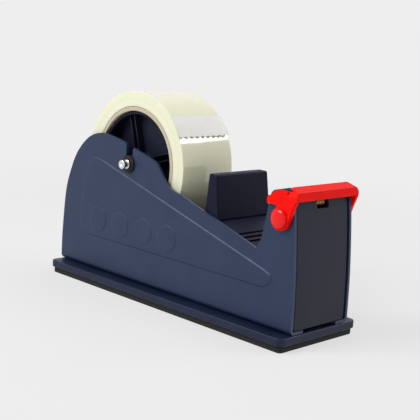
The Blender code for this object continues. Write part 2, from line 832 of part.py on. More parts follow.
def landing_plate():
    """Sheet that rises behind the tower, rolls over its top and ends in a short lip."""
    path = rounded(profile_points(LANDING_SHARES), LANDING_CORNERS, closed=False)
    bm = bmesh.new()
    verts = [bm.verts.new((p.x, -PANEL_HALF, p.y)) for p in path]
    edges = [bm.edges.new(pair) for pair in zip(verts, verts[1:])]
    grown = bmesh.ops.extrude_edge_only(bm, edges=edges)
    moved = [item for item in grown["geom"] if isinstance(item, bmesh.types.BMVert)]
    bmesh.ops.translate(bm, verts=moved, vec=(0, 2 * PANEL_HALF, 0))
    bmesh.ops.recalc_face_normals(bm, faces=bm.faces)
    first = min(bm.faces, key=lambda face: face.calc_center_median().z)
    if first.normal.x > 0:
        bmesh.ops.reverse_faces(bm, faces=bm.faces)
    mesh = bpy.data.meshes.new("landing_plate")
    bm.to_mesh(mesh)
    bm.free()
    obj = link("landing_plate", mesh)
    sheet = obj.modifiers.new("sheet", "SOLIDIFY")
    sheet.thickness = PANEL_THICKNESS
    sheet.offset = -1
    sheet.use_even_offset = True
    cut(obj, BLADE_HOLES)
    return finish(obj, "2c3650", 0.3)


# Blade

def lip_face():
    """X of the landing plate's front lip."""
    return profile_point(LANDING_SHARES[-1]).x


def blade_back():
    return lip_face() + SEAT_GAP


def blade_screw_place(side):
    height = profile_point((0, BLADE_FOOT_SHARE)).y + BLADE_SCREW_RISE
    return Vector((0, side * BLADE_SCREW_SPACING / 2, height))


def blade():
    """Flat strip with a toothed top edge, standing against the lip."""
    foot = profile_point((0, BLADE_FOOT_SHARE)).y
    valley = foot + BLADE_HEIGHT - BLADE_TOOTH_DEPTH
    half = PANEL_HALF - BLADE_END_GAP
    teeth = int(2 * half / BLADE_PITCH)
    outline = [Vector((-half, foot)), Vector((-half, valley))]
    start = -teeth * BLADE_PITCH / 2
    for tooth in range(teeth):
        left = start + tooth * BLADE_PITCH
        outline.append(Vector((left, valley)))
        outline.append(Vector((left + BLADE_PITCH / 2, valley + BLADE_TOOTH_DEPTH)))
    outline += [Vector((-start, valley)), Vector((half, valley)), Vector((half, foot))]
    obj = flat_solid("blade", [outline], BLADE_THICKNESS)
    obj.rotation_euler = (math.radians(90), 0, math.radians(90))
    obj.location = (blade_back() + BLADE_THICKNESS / 2, 0, 0)
    obj = to_mesh(obj)
    cut(obj, BLADE_HOLES)
    return finish(obj, "b9bcc0", 0.25, 1.0)


def blade_fasteners():
    """Screws with their heads on the blade, and nuts behind the lip."""
    sides = [blade_screw_place(side) for side in (-1, 1)]
    seat = blade_back() + BLADE_THICKNESS + SEAT_GAP
    nut_face = lip_face() - PANEL_THICKNESS - SEAT_GAP
    length = seat - nut_face + BLADE_NUT_HEIGHT
    profile = screw_profile(
        BLADE_SCREW_RADIUS, length, BLADE_SCREW_HEAD_RADIUS, BLADE_SCREW_HEAD
    )
    source = turned("blade_screw_source", profile, SCREW_SEGMENTS, (seat, 0, 0), "X")
    steel(repeated("blade_screw", source, sides))

    bore = BLADE_SCREW_RADIUS + SEAT_GAP
    ring = [
        (bore, nut_face),
        (BLADE_NUT_RADIUS, nut_face),
        (BLADE_NUT_RADIUS, nut_face - BLADE_NUT_HEIGHT),
        (bore, nut_face - BLADE_NUT_HEIGHT),
    ]
    source = turned("blade_nut_source", ring, 6, (0, 0, 0), "X", closed=True)
    steel(repeated("blade_nut", source, sides))


# Guard

def guard():
    """Two arms and the hood between them, cut from one outline."""
    disc = arc(PIVOT, GUARD_DISC_RADIUS, ARM_DISC_FROM, ARM_DISC_TO, 3 * BEND_STEPS)
    outline = [*disc, *profile_points(ARM_SHARES)]
    obj = profile_solid("guard", [outline], -ARM_OUTER, ARM_OUTER)

    back, inside_top, inside_foot = profile_points(HOOD_INSIDE_SHARES)
    reach = BODY_HEIGHT / 2
    hollow = [
        back,
        inside_top,
        inside_foot,
        Vector((inside_foot.x + reach, inside_foot.y)),
        Vector((inside_foot.x + reach, inside_foot.y - reach)),
        Vector((back.x - reach, inside_foot.y - reach)),
        Vector((back.x - reach, back.y + reach)),
        Vector((back.x, back.y + reach)),
    ]
    cut(obj, profile_solid("guard_hollow", [hollow], -ARM_INNER, ARM_INNER, CUTTERS))

    hood_top = profile_point(ARM_SHARES[13])
    slope_x = GUARD_END_CHAMFER_SIDE
    slope_z = GUARD_END_CHAMFER_DROP
    for side in (-1, 1):
        wedge = [
            Vector((ARM_OUTER - slope_x * 2, hood_top.y + slope_z)),
            Vector((ARM_OUTER + slope_x, hood_top.y - slope_z * 2)),
            Vector((ARM_OUTER + slope_x, hood_top.y + slope_z)),
        ]
        tool = flat_solid("guard_end_" + mirrored_name(side), [wedge], reach, CUTTERS)
        tool.rotation_euler = (math.radians(90), 0, side * math.radians(90))
        tool.location = (back.x - GUARD_EDGE_BEVEL + reach / 2, 0, 0)
        cut(obj, to_mesh(tool))

    front = profile_point(ARM_SHARES[14]).x - GUARD_EDGE_BEVEL
    ledge = block(
        "guard_ledge",
        (inside_foot.x - LEDGE_DEPTH, SPRING_END, ledge_height()),
        (front, SPRING_END + LEDGE_WIDTH, ledge_height() + LEDGE_HEIGHT),
    )
    join(obj, ledge)
    cut(obj, PIVOT_HOLE)
    return finish(obj, "e3211a", 0.3)


def pivot_rod():
    half = CAP_START + CAP_BORE_DEPTH - SEAT_GAP
    place = (PIVOT.x, 0, PIVOT.y)
    obj = pin(
        "guard_pivot_rod", GUARD_PIVOT_RADIUS, -half, half, PIN_SEGMENTS, place, "Y", PARTS
    )
    return finish(obj, "a5a8ac", 0.3, 1.0)


def pivot_cap(side):
    """Domed cap pressed on the end of the pivot rod."""
    bore = GUARD_PIVOT_RADIUS + SEAT_GAP
    dome = []
    steps = 5
    for step in range(steps + 1):
        angle = math.radians(90) * step / steps
        radius = CAP_RADIUS * math.sin(angle)
        dome.append((radius, CAP_START + CAP_RIM + CAP_DOME * math.cos(angle)))
    profile = [
        *dome,
        (CAP_RADIUS, CAP_START),
        (bore, CAP_START),
        (bore, CAP_START + CAP_BORE_DEPTH),
        (0, CAP_START + CAP_BORE_DEPTH),
    ]
    name = mirrored_name(side) + "_pivot_cap"
    axis = "Y" if side > 0 else "-Y"
    obj = turned(name, profile, KNOB_SEGMENTS, (PIVOT.x, 0, PIVOT.y), axis)
    return finish(obj, "d91714", 0.12)


# Guard spring

def spring_path():
    """Down leg, coils about the cross rod, and a front leg through the panel's notch."""
    centre = Vector((SPRING_ROD.x, 0, SPRING_ROD.y))
    radius = SPRING_COIL_RADIUS
    count = SPRING_TURNS * SPRING_POINTS_PER_TURN + SPRING_POINTS_PER_TURN // 4
    turn = SPRING_TURNS + 1 / 4
    coils = []
    for step in range(count + 1):
        share = step / count
        angle = 2 * math.pi * turn * share
        along = SPRING_START + SPRING_PITCH * turn * share
        coils.append(
            centre + Vector((radius * math.cos(angle), along, radius * math.sin(angle)))
        )
    first = coils[0]
    last = coils[-1]
    down = [first + Vector((0, 0, -SPRING_DOWN_LEG * share)) for share in SPRING_LEG_SHARES]
    ahead = [last + Vector((SPRING_FRONT_LEG * share, 0, 0)) for share in SPRING_LEG_SHARES]
    return [*reversed(down), *coils, *ahead]


def spring_gap(path):
    """Least free gap between stretches of the spring that aren't neighbours along it."""
    apart = SPRING_POINTS_PER_TURN // 2
    least = min(
        (first - second).length
        for index, first in enumerate(path)
        for second in path[index + apart:]
    )
    return least - 2 * SPRING_WIRE_RADIUS


def tube(name, path, radius, group=PARTS):
    """Round wire along a path, with filled ends."""
    curve = bpy.data.curves.new(name, "CURVE")
    curve.dimensions = "3D"
    curve.bevel_depth = radius
    curve.bevel_resolution = 1
    curve.use_fill_caps = True
    spline = curve.splines.new("POLY")
    spline.points.add(len(path) - 1)
    for point, place in zip(spline.points, path):
        point.co = (*place, 1)
    return to_mesh(link(name, curve, group))


def guard_spring():
    path = spring_path()
    print("guard_spring least gap to itself, mm:", round(spring_gap(path) / MM, 2))
    return finish(tube("guard_spring", path, SPRING_WIRE_RADIUS), "6b543a", 0.35, 1.0)


SPRING_END = SPRING_START + SPRING_PITCH * (SPRING_TURNS + 1 / 4) - LEDGE_WIDTH / 2


def ledge_height():
    """Underside of the guard's ledge, which rests on the spring's front leg."""
    return SPRING_ROD.y + SPRING_COIL_RADIUS + SPRING_WIRE_RADIUS + SEAT_GAP


def spring_rod():
    place = (SPRING_ROD.x, 0, SPRING_ROD.y)
    obj = pin(
        "spring_rod", SPRING_ROD_RADIUS, -SPRING_ROD_HALF, SPRING_ROD_HALF,
        PIN_SEGMENTS, place, "Y", PARTS,
    )
    return finish(obj, "8d9096", 0.35, 1.0)


# Ramp insert and guide block

def ramp_line():
    return profile_points(RAMP_TOP_SHARES)


def ramp_outline(wall):
    """Housing section inside its walls, which are 0 for the outside."""
    rear, front = ramp_line()
    slope = (front - rear).normalized()
    normal = Vector((-slope.y, slope.x))
    drop = wall / normal.y
    foot = FLOOR_TOP if wall == 0 else FLOOR_TOP - OVERRUN
    rear_x = rear.x + wall
    front_x = front.x - wall
    rise = (front.y - rear.y) / (front.x - rear.x)
    return [
        Vector((rear_x, foot)),
        Vector((rear_x, rear.y + rise * wall - drop)),
        Vector((front_x, front.y - rise * wall - drop)),
        Vector((front_x, foot)),
    ]


def ramp_slots():
    """Cross slots near the foot of the ramp, square to its slope."""
    rear, front = ramp_line()
    slope = (front - rear).normalized()
    normal = Vector((-slope.y, slope.x))
    tools = []
    for index in range(RAMP_SLOT_COUNT):
        start = rear + slope * (RAMP_SLOT_START + RAMP_SLOT_PITCH * index)
        low = start - normal * RAMP_SLOT_DEPTH
        high = start + normal * OVERRUN
        across = slope * RAMP_SLOT_WIDTH
        tools.append([low, low + across, high + across, high])
    return tools


def ribbed_ramp():
    obj = profile_solid("ribbed_ramp", [ramp_outline(0)], -PANEL_HALF, PANEL_HALF)
    inner = PANEL_HALF - RAMP_WALL
    cut(obj, profile_solid("ramp_inside", [ramp_outline(RAMP_WALL)], -inner, inner, CUTTERS))
    slot_half = PANEL_HALF + OVERRUN
    cut(obj, profile_solid("ramp_slots", ramp_slots(), -slot_half, slot_half, CUTTERS))
    cut(obj, BLOCK_SCREW_HOLES)
    clear_bends(obj)
    return finish(obj, "25283a", 0.5)


def block_half_width(height, inset):
    """Half width of the block, which its draft narrows towards the top."""
    points = profile_points(BLOCK_SHARES)
    low = min(p.y for p in points)
    high = max(p.y for p in points)
    return BLOCK_HALF - inset - BLOCK_DRAFT * (height - low) / (high - low)


def draft_solid(name, outline, inset, group):
    """Outline between two faces that lean in towards the top."""
    obj = profile_solid(name, [outline], -BLOCK_HALF, BLOCK_HALF, group)
    for vert in obj.data.vertices:
        side = 1 if vert.co.y > 0 else -1
        vert.co.y = side * block_half_width(vert.co.z, inset)
    return obj


def block_screw_places():
    """Where the block's screws pass the insert, midway along the block's foot."""
    foot_rear = profile_point(BLOCK_SHARES[0])
    foot_front = profile_point(BLOCK_SHARES[3])
    middle = (foot_rear + foot_front) / 2
    return [
        Vector((middle.x, side * BLOCK_SCREW_SPACING / 2, middle.y)) for side in (-1, 1)
    ]


def block_outline():
    """Section of the block, with its foot one seat gap above the ramp."""
    rear, front = ramp_line()
    rise = (front.y - rear.y) / (front.x - rear.x)
    points = profile_points(BLOCK_SHARES)
    for index in (0, 3):
        points[index].y = rear.y + rise * (points[index].x - rear.x) + SEAT_GAP
    return points


def guide_block():
    outline = block_outline()
    obj = draft_solid("guide_block", outline, 0, PARTS)
    bevel(obj, BLOCK_EDGE_BEVEL, angle=math.radians(60))
    rear_foot, rear_top, front_top, front_foot = outline
    inside = [
        Vector((rear_foot.x + BLOCK_WALL, rear_foot.y - OVERRUN)),
        Vector((rear_top.x + BLOCK_WALL, rear_top.y - BLOCK_WALL)),
        Vector((front_top.x - BLOCK_WALL, front_top.y - BLOCK_WALL)),
        Vector((front_foot.x - BLOCK_WALL, front_foot.y - OVERRUN)),
    ]
    cut(obj, draft_solid("guide_block_inside", inside, BLOCK_WALL, CUTTERS))
    for place in block_screw_places():
        boss = pin(
            "guide_block_boss", BLOCK_BOSS_RADIUS, SEAT_GAP + BLOCK_EDGE_BEVEL,
            BLOCK_BOSS_HEIGHT, SCREW_SEGMENTS, place, "Z",
        )
        join(obj, boss)
    cut(obj, BLOCK_SCREW_HOLES)
    return finish(obj, "20222e", 0.5)


def guide_block_screws():
    """Screws driven up through the insert's top wall into the block's bosses."""
    seat = -RAMP_WALL * 2
    profile = screw_profile(
        BLOCK_SCREW_RADIUS, BLOCK_SCREW_LENGTH - seat, BLOCK_SCREW_HEAD_RADIUS, BLOCK_SCREW_HEAD
    )
    upside_down = [(radius, seat - height) for radius, height in reversed(profile)]
    source = turned("block_screw_source", upside_down, SCREW_SEGMENTS, (0, 0, 0), "Z")
    steel(repeated("guide_block_screw", source, block_screw_places()))


# Ballast

def ballast_top():
    return AXLE.y - ROLL_RADIUS - ROLL_CLEARANCE


def ballast_ends():
    """X of the weight's rear and front, one gap from the rear panel and the ramp insert."""
    panel_end = PANEL_SETBACK + PANEL_RETURN - BODY_LENGTH / 2
    return panel_end + BALLAST_REAR_GAP, ramp_line()[0].x - BALLAST_FRONT_GAP


def ballast_block():
    half = INNER_HALF - BALLAST_SIDE_GAP
    outline = box_outline(*ballast_ends(), FLOOR_TOP, ballast_top())
    obj = profile_solid("ballast_block", [outline], -half, half)
    bevel(obj, BALLAST_EDGE_BEVEL, segments=1)
    cut(obj, BALLAST_HOLES)
    cut(obj, BALLAST_WELLS)
    return finish(obj, "3a3a3c", 0.7, 0.6)


def ballast_places():
    rear, front = ballast_ends()
    return [
        Vector((rear + BALLAST_BOLT_REAR_INSET, 0, 0)),
        Vector((front - BALLAST_BOLT_FRONT_INSET, 0, 0)),
    ]


def ballast_bolts():
    seat = ballast_top() - BALLAST_BOLT_WELL + SEAT_GAP
    length = seat - BASE_FOOT - SCREW_POINT_LIFT
    profile = screw_profile(
        BALLAST_BOLT_RADIUS, length, BALLAST_BOLT_HEAD_RADIUS, BALLAST_BOLT_HEAD
    )
    source = turned("ballast_bolt_source", profile, PIN_SEGMENTS, (0, 0, seat), "Z")
    steel(repeated("ballast_bolt", source, ballast_places()))


def flange_places():
    y = HALF_WIDTH - FLANGE_SCREW_EDGE
    return [
        Vector((profile_point((share, 0)).x, side * y, 0))
        for share in FLANGE_SCREW_SHARES
        for side in (-1, 1)
    ]


def flange_screws():
    seat = FLOOR_TOP
    length = seat - BASE_FOOT - SCREW_POINT_LIFT
    profile = screw_profile(
        FLANGE_SCREW_RADIUS, length, FLANGE_SCREW_HEAD_RADIUS, FLANGE_SCREW_HEAD
    )
    source = turned("flange_screw_source", profile, SCREW_SEGMENTS, (0, 0, seat), "Z")
    steel(repeated("flange_screw", source, flange_places()))


def hole_group(name, radius, start, stop, places, axis, segments):
    """One cutter with a round bar at each place."""
    mesh = solid_mesh(pin(name + "_bar", radius, start, stop, segments, (0, 0, 0), axis))
    bm = bmesh.new()
    for place in places:
        before = len(bm.verts)
        bm.from_mesh(mesh)
        bm.verts.ensure_lookup_table()
        bmesh.ops.translate(bm, verts=bm.verts[before:], vec=place)
    joined = bpy.data.meshes.new(name)
    bm.to_mesh(joined)
    bm.free()
    return link(name, joined, CUTTERS)


# Reel

def reel_place():
    return (AXLE.x, 0, AXLE.y)


def ring_profile(outer, inner, low, high):
    return [(inner, high), (outer, high), (outer, low), (inner, low)]


def tape_roll():
    profile = ring_profile(ROLL_RADIUS, CORE_RADIUS + SEAT_GAP, -HALF_TAPE, HALF_TAPE)
    obj = turned("tape_roll", profile, REEL_SEGMENTS, reel_place(), "Y", closed=True)
    return finish(obj, "e3e2c6", 0.2)


def core_tube():
    profile = ring_profile(CORE_RADIUS, CORE_BORE_RADIUS, -HALF_TAPE, HALF_TAPE)
    obj = turned("core_tube", profile, REEL_SEGMENTS, reel_place(), "Y", closed=True)
    return finish(obj, "b9a888", 0.85)


def hub_half(side):
    """Rim, web and boss in one turned profile, with radial ribs in front of the web."""
    name = mirrored_name(side) + "_hub_half"
    rim = HALF_TAPE - HUB_INSET
    rim_inner = HUB_RADIUS - HUB_RIM_WALL
    split = SEAT_GAP / 2
    web_front = rim - HUB_WEB_DEPTH
    web_back = web_front - HUB_WEB_THICKNESS
    profile = [
        (AXLE_BORE_RADIUS, BOSS_FACE),
        (HUB_BOSS_RADIUS, BOSS_FACE),
        (HUB_BOSS_RADIUS, web_front),
        (rim_inner, web_front),
        (rim_inner, rim),
        (HUB_RADIUS, rim),
        (HUB_RADIUS, split),
        (rim_inner, split),
        (rim_inner, web_back),
        (HUB_BOSS_RADIUS, web_back),
        (HUB_BOSS_RADIUS, split),
        (AXLE_BORE_RADIUS, split),
    ]
    axis = "Y" if side > 0 else "-Y"
    obj = turned(name, profile, HUB_SEGMENTS, reel_place(), axis, closed=True)
    bury = HUB_RIM_WALL / 3
    for index in range(HUB_RIB_COUNT):
        rib = block(
            name + "_rib",
            (HUB_BOSS_RADIUS - bury, -HUB_RIB_THICKNESS / 2, web_front - HUB_WEB_THICKNESS / 3),
            (rim_inner + bury, HUB_RIB_THICKNESS / 2, BOSS_FACE - HUB_RIM_WALL / 3),
        )
        angle = HUB_RIB_TURN + 2 * math.pi * index / HUB_RIB_COUNT
        spin = Matrix.Rotation(-angle, 4, "Y")
        lay = Matrix.Rotation(math.radians(-90 * side), 4, "X")
        rib.data.transform(Matrix.Translation(reel_place()) @ spin @ lay)
        join(obj, rib)
    return finish(obj, "1b1e2d", 0.4)


def axle_rod():
    tenon = KNOB_START + KNOB_COLLAR + KNOB_NECK + KNOB_HEAD - KNOB_DIMPLE_DEPTH * 2
    profile = [
        (0, tenon),
        (AXLE_TENON_RADIUS, tenon),
        (AXLE_TENON_RADIUS, BUSH_FACE),
        (AXLE_RADIUS, BUSH_FACE),
        (AXLE_RADIUS, -BUSH_FACE),
        (AXLE_TENON_RADIUS, -BUSH_FACE),
        (AXLE_TENON_RADIUS, -tenon),
        (0, -tenon),
    ]
    obj = turned("axle_rod", profile, PIN_SEGMENTS, reel_place(), "Y")
    return finish(obj, "c8cacc", 0.15, 1.0)


def axle_bush(side):
    """Spool whose barrel sits in the slot, between an outer and an inner flange."""
    name = mirrored_name(side) + "_axle_bush"
    outer_seat = HALF_WIDTH + SEAT_GAP
    inner_seat = INNER_HALF - SEAT_GAP
    inner_face = inner_seat - BUSH_FLANGE_THICKNESS
    nose = BOSS_FACE + SEAT_GAP
    profile = [
        (AXLE_BORE_RADIUS, BUSH_FACE),
        (BUSH_FLANGE_RADIUS, BUSH_FACE),
        (BUSH_FLANGE_RADIUS, outer_seat),
        (BARREL_RADIUS, outer_seat),
        (BARREL_RADIUS, inner_seat),
        (BUSH_FLANGE_RADIUS, inner_seat),
        (BUSH_FLANGE_RADIUS, inner_face),
        (BUSH_NOSE_RADIUS, inner_face),
        (BUSH_NOSE_RADIUS, nose),
        (AXLE_BORE_RADIUS, nose),
    ]
    axis = "Y" if side > 0 else "-Y"
    obj = turned(name, profile, KNOB_SEGMENTS, reel_place(), axis, closed=True)
    return finish(obj, "26241f", 0.5)


def axle_cap(side):
    """Chromed knob on the axle's tenon: collar, neck and dimpled head."""
    name = mirrored_name(side) + "_axle_cap"
    bore = AXLE_TENON_RADIUS + SEAT_GAP
    collar = KNOB_START + KNOB_COLLAR
    neck = collar + KNOB_NECK
    face = neck + KNOB_HEAD
    end = face - KNOB_DIMPLE_DEPTH
    profile = [
        (0, end),
        (KNOB_DIMPLE_RADIUS, face),
        (KNOB_RADIUS - KNOB_CHAMFER, face),
        (KNOB_RADIUS, face - KNOB_CHAMFER),
        (KNOB_RADIUS, neck),
        (KNOB_NECK_RADIUS, neck),
        (KNOB_NECK_RADIUS, collar),
        (KNOB_RADIUS, collar),
        (KNOB_RADIUS, KNOB_START),
        (bore, KNOB_START),
        (bore, end - KNOB_CHAMFER),
        (0, end - KNOB_CHAMFER),
    ]
    axis = "Y" if side > 0 else "-Y"
    obj = turned(name, profile, KNOB_SEGMENTS, reel_place(), axis)
    return finish(obj, "e6eaec", 0.08, 1.0)


def tape_end():
    """Loose end of the tape, curved over the roll and cut in a zigzag."""
    rows = 4
    columns = 2 * TAPE_TOOTH_COUNT
    bm = bmesh.new()
    grid = bmesh.ops.create_grid(bm, x_segments=rows, y_segments=columns, size=1)
    for vert in grid["verts"]:
        along = (vert.co.x + 1) / 2
        across = (vert.co.y + 1) / 2
        tooth = abs((across * TAPE_TOOTH_COUNT) % 1 - 1 / 2) * 2
        arc_length = (TAPE_END_START - TAPE_END_STOP) * ROLL_RADIUS * along
        arc_length -= TAPE_TOOTH_DEPTH * tooth * (along > 1 - 1 / (2 * rows))
        lift = TAPE_END_LIFT + TAPE_END_CURL * across ** 3
        radius = ROLL_RADIUS + SEAT_GAP + lift * along ** 2
        angle = TAPE_END_START - arc_length / ROLL_RADIUS
        vert.co.x = AXLE.x + radius * math.cos(angle)
        vert.co.y = (across * 2 - 1) * HALF_TAPE
        vert.co.z = AXLE.y + radius * math.sin(angle)
    bmesh.ops.recalc_face_normals(bm, faces=bm.faces)
    bm.faces.ensure_lookup_table()
    if bm.faces[0].normal.z < 0:
        bmesh.ops.reverse_faces(bm, faces=bm.faces)
    mesh = bpy.data.meshes.new("tape_end")
    bm.to_mesh(mesh)
    bm.free()
    obj = link("tape_end", mesh)
    film = obj.modifiers.new("film", "SOLIDIFY")
    film.thickness = TAPE_END_THICKNESS
    film.offset = 1
    return finish(obj, "ececec", 0.3)


def carry(name, place, riders, parent=None):
    """Empty on a joint's axis that carries the pieces of one moving body."""
    axis = link(name, None)
    axis.parent = parent
    axis.location = place if parent is None else (0, 0, 0)
    bpy.context.view_layer.update()
    for rider in riders:
        rider.parent = axis
        rider.matrix_parent_inverse = axis.matrix_world.inverted()
    return axis


SIDES = (-1, 1)
PLATE_REACH = ARM_OUTER + OVERRUN
BEND_RELIEFS = [bend_relief(relief_side) for relief_side in SIDES]
PIVOT_HOLE = pin(
    "pivot_hole", PIVOT_HOLE_RADIUS, -PLATE_REACH, PLATE_REACH, PIN_SEGMENTS,
    (PIVOT.x, 0, PIVOT.y), "Y",
)
SPRING_ROD_HOLE = pin(
    "spring_rod_hole", SPRING_ROD_HOLE_RADIUS, -PLATE_REACH, PLATE_REACH, PIN_SEGMENTS,
    (SPRING_ROD.x, 0, SPRING_ROD.y), "Y",
)
FLANGE_HOLES = hole_group(
    "flange_holes", FLANGE_SCREW_RADIUS + SEAT_GAP, -OVERRUN, FLOOR_TOP + OVERRUN,
    flange_places(), "Z", SCREW_SEGMENTS,
)
BALLAST_HOLES = hole_group(
    "ballast_holes", BALLAST_BOLT_RADIUS + SEAT_GAP, -OVERRUN, ballast_top() + OVERRUN,
    ballast_places(), "Z", PIN_SEGMENTS,
)
BALLAST_WELLS = hole_group(
    "ballast_wells", BALLAST_BOLT_HEAD_RADIUS + SEAT_GAP, ballast_top() - BALLAST_BOLT_WELL,
    ballast_top() + OVERRUN, ballast_places(), "Z", PIN_SEGMENTS,
)
BLADE_HOLES = hole_group(
    "blade_holes", BLADE_SCREW_RADIUS + SEAT_GAP, lip_face() - OVERRUN,
    lip_face() + OVERRUN, [blade_screw_place(side) for side in SIDES], "X", SCREW_SEGMENTS,
)
BLOCK_SCREW_HOLES = hole_group(
    "block_screw_holes", BLOCK_SCREW_RADIUS + SEAT_GAP, -RAMP_WALL - OVERRUN,
    BLOCK_SCREW_LENGTH + SEAT_GAP, block_screw_places(), "Z", SCREW_SEGMENTS,
)

rubber_mat()
base_plate()
for plate_side in SIDES:
    side_plate(plate_side)
front_panel()
rear_panel()
landing_plate()
blade()
blade_fasteners()
pivot_rod()
for cap_side in SIDES:
    pivot_cap(cap_side)
spring_rod()
guard_spring()
ribbed_ramp()
guide_block()
guide_block_screws()
ballast_block()
ballast_bolts()
flange_screws()

lifting = [axle_rod(), *map(axle_bush, SIDES), *map(axle_cap, SIDES)]
turning = [*map(hub_half, SIDES), core_tube(), tape_roll(), tape_end()]
LIFT_AXIS = carry("reel_lift_axis", reel_place(), lifting)
carry("reel_spin_axis", reel_place(), turning, LIFT_AXIS)
carry("guard_swing_axis", (PIVOT.x, 0, PIVOT.y), [guard()])
bpy.context.view_layer.update()
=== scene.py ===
"""Looks of the bench tape dispenser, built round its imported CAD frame.

Lengths are in metres, written as millimetres times MM, in the frame's own coordinates:
+X points to the cutting end, +Y to the far side plate and +Z up.
"""
import math

import bmesh
import bpy
from mathutils import Matrix, Vector


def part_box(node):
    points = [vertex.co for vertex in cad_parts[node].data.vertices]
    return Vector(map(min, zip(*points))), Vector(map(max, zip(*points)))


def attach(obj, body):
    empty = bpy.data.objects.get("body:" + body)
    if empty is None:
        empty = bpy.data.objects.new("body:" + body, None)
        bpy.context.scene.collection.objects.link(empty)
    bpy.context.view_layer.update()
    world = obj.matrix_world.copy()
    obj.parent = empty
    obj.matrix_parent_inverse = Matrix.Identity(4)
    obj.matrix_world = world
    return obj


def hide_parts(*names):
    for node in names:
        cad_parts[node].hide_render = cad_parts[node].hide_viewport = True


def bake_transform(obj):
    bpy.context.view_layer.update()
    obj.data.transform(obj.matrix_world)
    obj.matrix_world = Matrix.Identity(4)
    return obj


MM = 0.001
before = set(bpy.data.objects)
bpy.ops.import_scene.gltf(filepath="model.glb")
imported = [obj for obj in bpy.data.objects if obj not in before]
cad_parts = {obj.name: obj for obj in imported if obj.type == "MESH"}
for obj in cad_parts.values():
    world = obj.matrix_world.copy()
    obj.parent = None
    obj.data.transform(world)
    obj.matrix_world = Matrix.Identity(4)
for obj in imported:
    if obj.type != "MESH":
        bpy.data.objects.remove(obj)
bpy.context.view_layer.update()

# Sizes that the looks share with the CAD
SEAT_GAP = 0.3 * MM
BODY_LENGTH = 237.0 * MM
BODY_HEIGHT = 104.0 * MM
PLATE_FOOT = 10.0 * MM
HALF_WIDTH = 28.6 * MM
PLATE_THICKNESS = 2.0 * MM
BEND_RADIUS = 3.5 * MM
FLANGE_WIDTH = 12.0 * MM
EMBOSS_HEIGHT = 0.7 * MM
EMBOSS_SLOPE = 1.5 * MM
DISC_RADIUS = 9.8 * MM
DISC_HEIGHT = 0.4 * MM
DISC_SLOPE = 1.2 * MM
PIVOT_HOLE = 2.3 * MM
SPRING_ROD_HOLE = 1.8 * MM
V_CORNER = 2.0 * MM
TOWER_REAR_CORNER = 5.0 * MM
TOWER_FRONT_CORNER = 1.0 * MM
PANEL_THICKNESS = 1.5 * MM
PANEL_BEND_RADIUS = 2.0 * MM
PANEL_RETURN = 13.0 * MM
PANEL_SETBACK = 0.6 * MM
PANEL_HALF = 26.3 * MM
FLOOR_TOP = 12.3 * MM
RELIEF_INNER = 24.5 * MM
RELIEF_OUTER = 30.0 * MM
RELIEF_TOP = 13.8 * MM
NOTCH_HALF = 6.0 * MM
NOTCH_DEPTH = 6.0 * MM
NOTCH_CORNER = 1.6 * MM
SLOT_HALF = 3.6 * MM
SLOT_MOUTH_RADIUS = 3.0 * MM
HALF_TAPE = 24.0 * MM
ROLL_RADIUS = 51.8 * MM
CORE_RADIUS = 41.0 * MM
CORE_BORE = 38.1 * MM
HUB_RADIUS = 37.8 * MM
HUB_RIM_INNER = 35.5 * MM
HUB_RIM_FACE = 22.0 * MM
HUB_WEB_FRONT = 14.0 * MM
HUB_WEB_BACK = 12.0 * MM
HUB_BOSS_RADIUS = 8.0 * MM
HUB_BOSS_FACE = 20.0 * MM
HUB_RIB_TOP = 19.2 * MM
HUB_RIB_TURN = math.radians(16.5)
AXLE_BORE = 2.6 * MM
AXLE_RADIUS = 2.3 * MM
PIVOT_ROD_RADIUS = 2.0 * MM
SPRING_ROD_RADIUS = 1.5 * MM
ARM_INNER = 28.95 * MM
ARM_OUTER = 31.15 * MM
GUARD_DISC_RADIUS = 7.4 * MM
GUARD_DISC_ARC = (math.radians(-29), math.radians(-213))
GUARD_CHAMFER_SIDE = 4.3 * MM
GUARD_CHAMFER_DROP = 5.3 * MM
HOOD_SKIN = 0.5 * MM
LEDGE_BACK = 2.6 * MM
LEDGE_THICKNESS = 2.0 * MM
LEDGE_WIDTH = 4.0 * MM
BLOCK_HALF = 26.0 * MM
BLOCK_DRAFT = 1.1 * MM
BLOCK_WALL = 2.4 * MM
RAMP_WALL = 2.5 * MM
RAMP_SLOT_WIDTH = 2.0 * MM
RAMP_SLOT_PITCH = 4.9 * MM
RAMP_SLOT_DEPTH = 1.6 * MM
RAMP_SLOT_COUNT = 3
RAMP_SLOT_START = 34.0 * MM
SPRING_COIL_RADIUS = 3.0 * MM
SPRING_WIRE = 0.55 * MM
SPRING_PITCH = 1.7 * MM
SPRING_TURNS = 6.25
SPRING_START = -6.0 * MM
SPRING_DOWN_LEG = 8.0 * MM
SPRING_FRONT_LEG = 7.6 * MM
TAPE_END_START = math.radians(46.5)
TAPE_END_STOP = math.radians(27.0)
TAPE_END_THICKNESS = 0.15 * MM
TAPE_END_LIFT = 0.9 * MM
TAPE_END_CURL = 1.9 * MM
TAPE_TOOTH_DEPTH = 1.3 * MM
TAPE_TOOTH_COUNT = 9
NUT_RADIUS = 1.9 * MM

